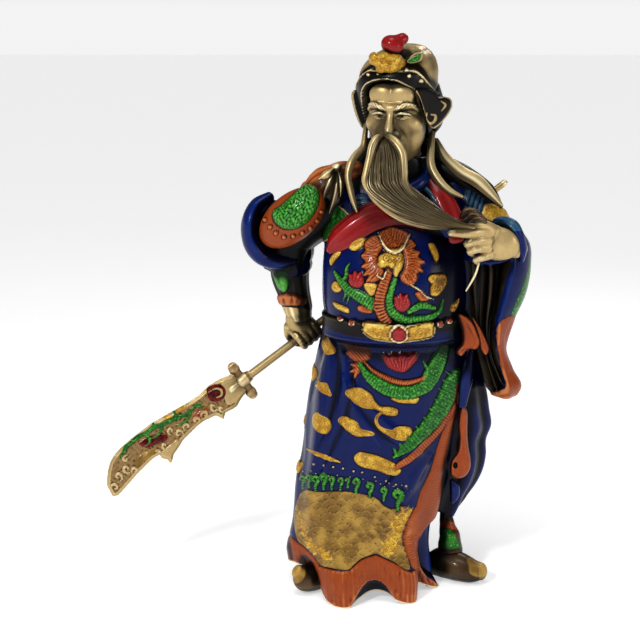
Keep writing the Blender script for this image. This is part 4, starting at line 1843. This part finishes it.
def turned(profile, sides=36):
    rows = np.array(profile, float)
    along, radius = rows[:, :1], rows[:, 1:]
    a = np.arange(sides) / sides * TURN
    return tube(on_glaive(np.stack([along + 0 * a, radius * np.cos(a), radius * np.sin(a)], -1)))


def shaft():
    thick, thin = SHAFT_DIAMETER / 2, BUTT_DIAMETER / 2
    x = np.linspace(-SOCKET_LENGTH / 2, SHAFT_LENGTH - thin, 90)
    rows = [[v, mix(thick, thin, (v + 10) / SHAFT_LENGTH)] for v in x]
    rows += [[SHAFT_LENGTH - 0.3 * thin, 0.7 * thin], [SHAFT_LENGTH - 0.03, 0.1]]
    return turned(rows)


GUARD_SIZES = [0.86, 1.04, 0.84, 0.92, 1.02, 0.92, 0.84, 1.04, 0.86]


def guard():
    made = turned([[-4.4, 1.8], [-3.6, 3.3], [-2.4, 3.7], [2.0, 3.6], [3.0, 3.1], [4.4, 2.9], [5.0, 2.4]])
    reach = GUARD_LENGTH / 2
    bar = on_glaive([[-0.8, 0, v] for v in np.linspace(1.4 - reach, reach - 1.4, len(GUARD_SIZES))])
    made.fields["crease"] = np.full(len(made.points), 0.3)
    return made + limb(bar, [[size, size * 0.8] for size in GUARD_SIZES], OUT, 50, 120)


# The blade's casting: a dragon among scrolls, in pixels of the reference view.
BLADE_DRAGON = [
    (203, 402), (195, 407), (187, 414), (177, 418), (166, 423), (155, 427), (146, 433), (137, 438),
    (130, 444), (124, 452), (120, 459),
]
BLADE_LIMBS = (
    [(190, 412), (188, 419), (182, 424), (176, 425)], [(163, 425), (158, 435), (150, 439)],
    [(176, 416), (172, 409), (165, 410)], [(146, 433), (150, 441), (144, 447)],
    [(131, 444), (126, 446), (122, 452)], [(196, 405), (201, 407), (203, 411)],
    [(155, 427), (151, 422), (145, 424)],
)
# Leaf scrolls beside the dragon: middle, size, start angle and turns.
BLADE_SCROLLS = (
    (214, 407, 5.0, 0.3, 0.8), (205, 415, 4.6, 2.4, 0.9), (196, 421, 4.4, 0.6, -0.8),
    (187, 427, 4.2, 2.2, 0.8), (179, 434, 4.6, 0.4, -0.9), (171, 431, 4.0, 1.6, 0.8),
    (165, 446, 4.4, 0.2, 0.9), (157, 452, 4.0, 2.0, -0.8), (127, 469, 5.0, 0.6, 0.9),
    (118, 477, 5.2, 1.4, -0.9), (115, 488, 4.6, 3.0, 0.8), (126, 459, 3.8, 5.0, -0.8),
    (188, 405, 3.6, 2.6, 0.7), (171, 413, 3.2, 4.4, 0.7), (135, 471, 3.8, 2.6, 0.8),
    (222, 409, 3.2, 1.2, 0.7),
)


def scroll(x, y, size, start, turns):
    angles = start + np.linspace(0, turns * TURN, 7)
    reach = size * np.linspace(1.0, 0.18, 7)
    return np.stack([x + reach * np.cos(angles), y + reach * np.sin(angles)], -1)


BLADE_ROOT = [(222, 379), (231, 376), (241, 380), (245, 391), (237, 401), (228, 405), (224, 396), (222, 388)]
BLADE_BARB = [(160, 455), (168, 447), (178, 440), (176, 450), (172, 461), (166, 458)]
DRAGON_HEAD = [(207, 389), (211, 386), (218, 384), (224, 387), (226, 393), (223, 399), (216, 402), (209, 400)]
RED_CLOUD = [(139, 444), (147, 438), (157, 434.5), (168, 435.5), (167, 440), (157, 444), (147, 448)]
TAN_PLUME = [(134, 463), (141, 455), (149, 450), (157, 447), (155, 453), (146, 460), (137, 467)]
ORANGE_PLUME = [(192, 420), (198, 410), (206, 407), (209, 411), (204, 416), (197, 422)]
GOLD_PLUME = [(162, 417), (168, 411), (178, 406), (188, 402), (186, 408), (178, 413), (168, 419)]


def blade_art(canvas):
    at = canvas.at
    chased = hammered(at * 0.5, 1.0)
    canvas.lay("bronze", bounded(3.2 + outline_distance(at, BLADE_OUTLINE)), -0.10, soft=1.5,
               wash=0.14 - 0.16 * chased, texture=0.05 * chased)
    canvas.blob("brass", BLADE_ROOT, 0.1, wash=0.05)
    canvas.blob("brass", BLADE_BARB, 0.06, wash=0.05)
    canvas.blob("red", DRAGON_HEAD, 0.14, soft=5, wash=0.6 + 0.15 * chased)
    canvas.stroke("brass", [(209, 392), (216, 388.5), (221, 390), (221.5, 395), (217, 397.5)],
                  [0.6, 1.0, 1.2, 1.1, 0.6], 0.3)
    canvas.blob("red", RED_CLOUD, 0.12, wash=0.62 + 0.15 * chased)
    canvas.blob("tan", TAN_PLUME, 0.2, texture=fine_lines(at, 0.8, 3.4, 0.06), wash=0.2)
    canvas.blob("orange", ORANGE_PLUME, 0.18, texture=fine_lines(at, 0.8, 3.0, 0.06), wash=0.3)
    canvas.blob("gold", GOLD_PLUME, 0.1, wash=0.2)
    for row in BLADE_SCROLLS:
        canvas.stroke("brass", scroll(*row), [0.6, 1.3, 1.6, 1.4, 1.1, 0.7], 0.24, wash=0.05)
    body = [0.6, 1.2, 1.7, 2.2, 2.2, 2.4, 2.0, 2.2, 1.7, 1.6, 0.8]
    canvas.stroke("green", BLADE_DRAGON, body, 0.34, scales(2.6, 0.10), wash=0.3 - 0.25 * chased)
    for rows in BLADE_LIMBS:
        canvas.stroke("green", rows, [1.7, 1.3, 0.5], 0.28, wash=0.15)


def blade():
    x, z = np.linspace(-103, 5, 400), np.linspace(-15.5, 15.5, 100)
    across, up = np.meshgrid(x, z, indexing="ij")
    at = seen(on_glaive(np.stack([across, np.full_like(up, -BLADE_THICKNESS / 2), up], -1)))
    inside = -outline_distance(at.reshape(-1, 2), BLADE_OUTLINE).reshape(at.shape[:2])
    canvas = Canvas(at, halo=0.15)
    blade_art(canvas)
    rim = 0.10 * np.exp(-((inside - 2.6) / 1.2) ** 2)
    relief_mm = (canvas.raised() + rim) * 3 * smooth(0.6, 2.0, inside)
    half = 0.45 + (BLADE_THICKNESS / 2 - 0.8) * smooth(0, 4.5, inside)
    half = np.where(inside > 0, half, inside) + relief_mm
    made = surface(lambda p: np.abs(p[..., 1]) - sample(half, x, z, p[..., [0, 2]]), (-104, -3.4, -15.4),
                   (4, 3.4, 15.4), 0.29)
    for name, values in canvas.fields().items():
        made.fields[name] = sample(values, x, z, made.points[:, [0, 2]])
    made.points = on_glaive(made.points)
    return made


# Finishes

class Value:
    """A number inside a shader: arithmetic on it adds Math nodes."""

    def __init__(self, shader, socket):
        self.shader, self.socket = shader, socket

    def __add__(self, other):
        return self.shader.maths("ADD", self, other)

    def __radd__(self, other):
        return self.shader.maths("ADD", other, self)

    def __sub__(self, other):
        return self.shader.maths("SUBTRACT", self, other)

    def __rsub__(self, other):
        return self.shader.maths("SUBTRACT", other, self)

    def __mul__(self, other):
        return self.shader.maths("MULTIPLY", self, other)

    def __rmul__(self, other):
        return self.shader.maths("MULTIPLY", other, self)

    def clamp(self):
        return self.shader.maths("ADD", self, 0.0, use_clamp=True)

    def between(self, low, high):
        """0 below low, 1 above high and smooth between."""
        node = self.shader.node("ShaderNodeMapRange", {"interpolation_type": "SMOOTHSTEP"},
                                {"Value": self, "From Min": low, "From Max": high})
        return Value(self.shader, node.outputs["Result"])

    def most(self, other):
        return self.shader.maths("MAXIMUM", self, other)


class Nodes:
    """The nodes of a material or world under construction."""

    def __init__(self, owner):
        owner.use_nodes = True
        self.owner, self.tree = owner, owner.node_tree
        self.tree.nodes.clear()

    def node(self, kind, settings=None, values=None):
        made = self.tree.nodes.new(kind)
        for key, value in (settings or {}).items():
            setattr(made, key, value)
        for key, value in (values or {}).items():
            socket = made.inputs[key]
            source = value.socket if isinstance(value, Value) else value
            if isinstance(source, bpy.types.NodeSocket):
                self.tree.links.new(source, socket)
            else:
                socket.default_value = source
        return made


class Shader(Nodes):
    """The nodes of a material, whose textures are in millimetres."""

    def __init__(self, name):
        super().__init__(bpy.data.materials.new(name))
        place = self.node("ShaderNodeTexCoord").outputs["Object"]
        scaled = self.node("ShaderNodeVectorMath", {"operation": "SCALE"}, {"Vector": place, "Scale": 1000.0})
        self.millimetres = scaled.outputs["Vector"]

    def maths(self, operation, a, b=0.0, use_clamp=False):
        made = self.node("ShaderNodeMath", {"operation": operation, "use_clamp": use_clamp}, {0: a, 1: b})
        return Value(self, made.outputs[0])

    def blend(self, share, a, b):
        """A colour between two colours."""
        a, b = (value if isinstance(value, bpy.types.NodeSocket) else (*value, 1.0) for value in (a, b))
        return self.node("ShaderNodeMix", {"data_type": "RGBA"}, {0: share, 6: a, 7: b}).outputs[2]

    def point_value(self, name):
        made = self.node("ShaderNodeAttribute", {"attribute_name": name})
        return Value(self, made.outputs["Fac"])

    def noise(self, scale, detail=3.0, rough=0.55):
        made = self.node("ShaderNodeTexNoise", None, {"Vector": self.millimetres, "Scale": scale,
                                                      "Detail": detail, "Roughness": rough})
        return Value(self, made.outputs["Fac"])

    def cells(self, scale):
        """A random value in each cell, and the distance to the cell's middle."""
        made = self.node("ShaderNodeTexVoronoi", None, {"Vector": self.millimetres, "Scale": scale})
        split = self.node("ShaderNodeSeparateColor", None, {"Color": made.outputs["Color"]})
        return Value(self, split.outputs[0]), Value(self, made.outputs["Distance"])

    def finished(self, values):
        """The material, with a surface of these values."""
        body = self.node("ShaderNodeBsdfPrincipled", None, values)
        self.node("ShaderNodeOutputMaterial", None, {"Surface": body.outputs[0]})
        return self.owner


class Finish(NamedTuple):
    bright: tuple
    mottled: tuple  # the other colour of its mottling
    recess: tuple
    edge: tuple  # what its raised edges are rubbed to
    rough: float
    metal: float
    mottling: float
    grain: float
    rubbed: float
    coat: float

    def numbers(self):
        return self.rough, self.metal, self.grain, self.rubbed, self.coat


FINISHES = {
    "blue": Finish((0.0016, 0.0108, 0.120), (0.001, 0.0042, 0.038), (0.0005, 0.001, 0.006),
                   (0.009, 0.038, 0.25), 0.24, 0.0, 0.8, 0.10, 0.3, 0.08),
    "green": Finish((0.018, 0.205, 0.014), (0.003, 0.055, 0.006), (0.001, 0.010, 0.002), (0.12, 0.46, 0.06),
                    0.30, 0.05, 0.9, 0.35, 0.5, 0.16),
    "orange": Finish((0.410, 0.078, 0.012), (0.190, 0.026, 0.005), (0.016, 0.003, 0.002), (0.68, 0.26, 0.08),
                     0.36, 0.0, 0.85, 0.2, 0.5, 0.12),
    "red": Finish((0.440, 0.014, 0.014), (0.160, 0.004, 0.005), (0.010, 0.001, 0.001), (0.62, 0.07, 0.07),
                  0.24, 0.0, 0.6, 0.15, 0.4, 0.25),
    "gold": Finish((0.820, 0.530, 0.050), (0.330, 0.145, 0.012), (0.090, 0.035, 0.005), (0.92, 0.70, 0.18),
                   0.38, 0.1, 0.9, 0.8, 0.5, 0.10),
    "tan": Finish((0.500, 0.300, 0.055), (0.120, 0.055, 0.012), (0.020, 0.009, 0.003), (0.66, 0.42, 0.10),
                  0.36, 0.1, 0.95, 0.4, 0.3, 0.10),
    "brass": Finish((0.680, 0.500, 0.225), (0.380, 0.260, 0.105), (0.008, 0.005, 0.003), (0.95, 0.82, 0.50),
                    0.36, 0.45, 0.8, 0.2, 0.9, 0.04),
    "bronze": Finish((0.400, 0.255, 0.105), (0.190, 0.100, 0.036), (0.020, 0.010, 0.004), (0.80, 0.60, 0.32),
                     0.36, 0.4, 0.9, 0.4, 0.9, 0.04),
    "dark": Finish((0.010, 0.008, 0.006), (0.004, 0.003, 0.003), (0.001, 0.001, 0.001), (0.12, 0.082, 0.04),
                   0.36, 0.0, 0.5, 0.2, 0.4, 0.05),
    "brown": Finish((0.060, 0.028, 0.012), (0.022, 0.010, 0.005), (0.003, 0.002, 0.001), (0.28, 0.18, 0.08),
                    0.32, 0.1, 0.6, 0.2, 0.5, 0.10),
    "pearl": Finish((0.560, 0.440, 0.340), (0.380, 0.270, 0.200), (0.05, 0.03, 0.02), (0.75, 0.66, 0.52),
                    0.28, 0.0, 0.3, 0.1, 0.2, 0.15),
    "teal": Finish((0.030, 0.110, 0.220), (0.008, 0.034, 0.075), (0.001, 0.003, 0.006), (0.08, 0.18, 0.24),
                   0.26, 0.0, 0.7, 0.2, 0.4, 0.16),
}


BLOTCHES = {"gold": 0.25, "tan": 0.11}  # how many there are in a millimetre
SOFT_EDGE = 0.22  # pixels on either side of an enamel's edge


def mottled(s, area, mottle, grain, cell):
    """The colour of one finish, with its mottling."""
    look, share = FINISHES[area], mottle
    if area == "green":
        share = cell.between(0.05, 0.95) * 0.6 + mottle * 0.4
    if area in BLOTCHES:
        share = s.noise(BLOTCHES[area], 1.0).between(0.40, 0.68) * 0.6 + mottle * 0.35
    shade = s.blend(1 - share * look.mottling, look.bright, look.mottled)
    if area == "green":
        shade = s.blend(cell.between(0.86, 0.92) * 0.6, shade, look.edge)
    if area == "gold":
        shade = s.blend(grain.between(0.50, 0.38), shade, (0.24, 0.085, 0.008))
    return shade


def finish(base, areas):
    """One glazed or bare surface: the base finish, and the others where their areas' values are over 0."""
    s = Shader("_".join((base, *areas)))
    cloud, grain = s.noise(0.16), s.noise(1.7, 4.0, 0.65)
    cell, cell_edge = s.cells(1.05)
    mottle = (cloud * 0.8 + grain * 1.3 - 0.55).clamp()
    look = FINISHES[base]
    numbers, colours = look.numbers(), (mottled(s, base, mottle, grain, cell), look.recess, look.edge)
    for area in areas:
        look = FINISHES[area]
        shade = mottled(s, area, mottle, grain, cell)
        here = s.point_value(area).between(-SOFT_EDGE, SOFT_EDGE)
        numbers = tuple(here * (new - old) + old for new, old in zip(look.numbers(), numbers))
        colours = tuple(s.blend(here, old, new) for new, old in zip((shade, look.recess, look.edge), colours))
    rough, metal, coarse, rubbed, coat = numbers
    colour, recess, edge = colours
    hollow, shade = s.point_value("hollow"), s.point_value("shade")
    patchy = hollow + (grain - 0.5) * 0.45 + (cloud - 0.5) * 0.35
    dirt = patchy.between(0.12, 0.80).most(shade.between(0.02, 0.75) * 0.97)
    worn = (hollow * -1.0 + (grain - 0.5) * 0.3).between(0.15, 0.75) * rubbed
    colour = s.blend(dirt, s.blend(worn, colour, edge), recess)
    height = grain * coarse * 0.10
    if "green" in (base, *areas):
        height = height + cell_edge * 0.03
    bump = s.node("ShaderNodeBump", None, {"Strength": 0.55, "Distance": 0.001, "Height": height})
    return s.finished({"Base Color": colour, "Roughness": rough, "Metallic": metal,
                       "Normal": bump.outputs["Normal"], "Coat Weight": (1 - dirt * 0.85) * coat,
                       "Coat Roughness": 0.07, "Specular IOR Level": 0.1})


# Pieces

RELIEF_ROUNDS = ((1, 0.06), (3, 0.20))  # how often the copy is smoothed, and how far off it counts as 1


def relief(shape):
    """How hollow the surface is at every point, from its distance to a smoothed copy, about -1 to 1."""
    p, f = shape.points, shape.faces
    edges = np.vstack([f[:, [0, 1]], f[:, [1, 2]], f[:, [2, 3]], f[:, [3, 0]]])
    edges = edges[edges[:, 0] != edges[:, 1]]
    a, b = np.concatenate([edges, edges[:, ::-1]]).T
    number = np.maximum(np.bincount(a, minlength=len(p)), 1)
    normals = shape.normals()
    moved, result, done = p.copy(), np.zeros(len(p)), 0
    for count, reach in RELIEF_ROUNDS:
        for _ in range(count - done):
            moved = np.stack([np.bincount(a, moved[b, k], len(p)) / number for k in range(3)], -1)
        done = count
        result += np.clip(np.sum((moved - p) * normals, axis=1) / reach, -1, 1)
    return np.clip(result, -1, 1)


# Shade in recesses comes from how much surface lies round a place, in a grid of cells over the figure. Each
# radius that it is smoothed over has a weight, and it is read SHADE_STEP radii outside the surface.
VOXEL = 0.7
SHADE_LOW, SHADE_HIGH = np.array([-58.0, -24, -6]), np.array([34.0, 24, 108])
SHADE_RADII, SHADE_WEIGHTS, SHADE_STEP = (1.0, 2.6), (0.45, 0.75), 1.2


def shade_volume(shapes):
    """How much surface lies around each place in the figure's box, smoothed over two distances."""
    size = np.ceil((SHADE_HIGH - SHADE_LOW) / VOXEL).astype(int)
    total = np.zeros(size.prod())
    for shape in shapes:
        area = np.linalg.norm(shape.across(), axis=1) / 2
        middle = (shape.points[shape.faces].mean(1) - SHADE_LOW) / VOXEL
        cell = np.clip(middle.astype(int), 0, size - 1)
        flat = (cell[:, 0] * size[1] + cell[:, 1]) * size[2] + cell[:, 2]
        total += np.bincount(flat, area, len(total))
    solid = total.reshape(size) / VOXEL ** 3
    waves = [np.fft.fftfreq(n, VOXEL) for n in size[:2]] + [np.fft.rfftfreq(size[2], VOXEL)]
    square = sum((wave * TURN) ** 2 for wave in np.meshgrid(*waves, indexing="ij", sparse=True))
    spectrum = np.fft.rfftn(solid)
    return [np.fft.irfftn(spectrum * np.exp(-square * r * r / 2), size) for r in SHADE_RADII]


def shade_at(shape, volumes):
    """How enclosed each point is, 0 in the open and 1 deep in a recess."""
    normals = shape.normals()
    result = np.zeros(len(shape.points))
    for volume, radius, weight in zip(volumes, SHADE_RADII, SHADE_WEIGHTS):
        place = (shape.points + normals * radius * SHADE_STEP - SHADE_LOW) / VOXEL - 0.5
        low = np.clip(np.floor(place).astype(int), 0, np.array(volume.shape) - 2)
        t = np.clip(place - low, 0, 1)
        value = np.zeros(len(place))
        for corner in np.ndindex(2, 2, 2):
            share = np.prod(np.where(corner, t, 1 - t), axis=1)
            value += share * volume[tuple((low + corner).T)]
        open_wall = math.exp(-SHADE_STEP ** 2 / 2) / (math.sqrt(TURN) * radius)
        result += weight * smooth(1.15, 3.2, value / open_wall)
    return np.clip(result, 0, 1)


SLOTS = {"brown": "dark_patina", "dark": "dark_patina", "teal": "blue_enamel", "brass": "brass"}
SLOTS.update({name: name + "_enamel" for name in ("blue", "green", "orange", "red", "gold")})
# The pieces of each node: maker, the finish under the enamels, and where they aren't the usual ones, the
# strength of the shade and the slot.
PIECES = {
    "figure": [
        (robe_front, "blue"), (robe_behind, "blue"), (trunk_front, "blue", 0.45), (trunk_behind, "blue"),
        (girdle, "blue", 1.0, "dark_patina"), (sash, "red", 0.6), (collar, "blue", 0.35),
        (collar_cord, "teal", 0.3), (lapel, "red", 0.35), (pauldron, "orange", 0.4),
        (shoulder_cap, "orange", 0.6), (right_upper_arm, "dark"), (right_sleeve, "blue"),
        (sleeve_bag, "blue"), (right_forearm, "dark"), (right_fist, "brass", 0.8), (left_sleeve, "blue", 0.5),
        (left_cuff, "teal", 0.7), (beard_end, "brown", 0.6), (hand_cord, "brass", 0.5),
        (left_hand, "brass", 0.5), (rear_robe, "blue"), (side_ribbon, "orange"), (boots, "brown"),
        (hip_knots, "orange"), (head, "brass", 0.6), (cap, "brass"), (flaps, "dark"),
        (hat_cloud, "gold", 0.3), (crest, "red"), (jewel, "green"), (beard, "brass", 0.6),
        (moustache, "brass", 0.5), (hat_ribbons, "brass", 0.6), (drapes, "dark"), (back_hair, "dark"),
        (knot, "brass", 0.9),
    ],
    "glaive": [(shaft, "brass", 0.5), (guard, "bronze", 0.7, "brass"), (blade, "brass", 0.5)],
}


def piece(node, make, base, dim=1.0, slot=None):
    return f"{node}_{make.__name__}", make(), base, dim, slot or SLOTS[base]


def mesh_of(name, shape, areas):
    mesh = bpy.data.meshes.new(name)
    count = np.where(shape.faces[:, 2] == shape.faces[:, 3], 3, 4)
    corners = shape.faces[np.arange(4) < count[:, None]]
    mesh.vertices.add(len(shape.points))
    mesh.vertices.foreach_set("co", (shape.points * UNIT).astype(np.float32).ravel())
    mesh.loops.add(len(corners))
    mesh.loops.foreach_set("vertex_index", corners.astype(np.int32))
    mesh.polygons.add(len(count))
    mesh.polygons.foreach_set("loop_start", (np.cumsum(count) - count).astype(np.int32))
    mesh.polygons.foreach_set("use_smooth", np.ones(len(count), bool))
    mesh.update(calc_edges=True)
    mesh.validate()
    for field in ("hollow", "shade", *areas):
        data = mesh.attributes.new(field, "FLOAT", "POINT").data
        data.foreach_set("value", np.ascontiguousarray(shape.field(field), np.float32))
    return mesh


def build_pieces():
    pieces = [piece(node, *row) for node, rows in PIECES.items() for row in rows]
    volumes, finishes = shade_volume([entry[1] for entry in pieces]), {}
    for name, shape, base, dim, slot in pieces:
        areas = tuple(area for area in FINISHES if shape.field(area).max() > -0.5)
        shape.fields["hollow"] = np.clip(relief(shape) + shape.field("crease"), -1, 1)
        shape.fields["shade"] = shade_at(shape, volumes) * dim
        if (base, areas) not in finishes:
            finishes[base, areas] = finish(base, areas)
        mesh = mesh_of(name, shape, areas)
        mesh.materials.append(finishes[base, areas])
        obj = add(name, mesh)
        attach(obj, "root")
        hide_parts(name.split("_")[0])


# Floor and light

def plain(name, grey, roughness):
    s = Shader(name)
    shade = s.blend(s.noise(0.02), (grey,) * 3, (grey * 0.97,) * 3)
    return s.finished({"Base Color": shade, "Roughness": roughness, "Emission Color": shade,
                       "Emission Strength": 0.55})


def add_floor(reach=40.0):
    mesh = bpy.data.meshes.new("floor")
    mesh.from_pydata([(-reach, -reach, 0), (reach, -reach, 0), (reach, reach, 0), (-reach, reach, 0)], [],
                     [(0, 1, 2, 3)])
    mesh.materials.append(plain("pale_floor", 0.86, 0.9))
    floor = add("floor", mesh)
    floor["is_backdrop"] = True


def add_light(name, place, aim, size, power):
    data = bpy.data.lights.new(name, "AREA")
    data.shape, data.size, data.size_y = "RECTANGLE", *size
    data.energy = power
    x, y, z = np.array(place) - np.array(aim)
    add(name, data, place, (math.atan2(math.hypot(x, y), z), 0, math.atan2(y, x) + math.pi / 2))


def add_sun(name, turn, strength, softness):
    data = bpy.data.lights.new(name, "SUN")
    data.energy, data.angle = strength, softness
    add(name, data, (0, 0, 1), turn)


SKY = ((0.0, 0.9), (0.03, 0.9), (0.10, 0.10), (0.7, 0.08), (1.0, 0.3))  # height and grey


def add_world():
    """Pale at the horizon and dimmer above it, so that the glaze reflects a dark room with lamps."""
    s = Nodes(bpy.data.worlds.new("studio"))
    place = s.node("ShaderNodeTexCoord")
    split = s.node("ShaderNodeSeparateXYZ", None, {0: place.outputs["Generated"]})
    ramp = s.node("ShaderNodeValToRGB", None, {"Fac": split.outputs["Z"]})
    stops = ramp.color_ramp.elements
    while len(stops) < len(SKY):
        stops.new(0.5)
    for stop, (height, grey) in zip(stops, SKY):
        stop.position, stop.color = height, (grey, grey, grey, 1)
    sky = s.node("ShaderNodeBackground", None, {"Color": ramp.outputs["Color"]})
    s.node("ShaderNodeOutputWorld", None, {"Surface": sky.outputs[0]})
    bpy.context.scene.world = s.owner


bpy.context.scene.view_settings.view_transform = "Standard"
add_world()
add_floor()
add_light("key", (-0.5, -0.8, 0.75), (0, 0, 0.16), (0.10, 0.14), 6.2)
add_light("fill", (0.8, -0.55, 0.4), (0, 0, 0.15), (0.2, 0.3), 1.6)
add_light("back", (0.3, 0.6, 0.7), (0, 0, 0.2), (0.3, 0.2), 1.3)
add_sun("sky", (0.25, -0.05, 0.0), 1.05, 0.5)

build_pieces()

[[list(corner) for corner in box] for box in (CAD_BOX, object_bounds())]
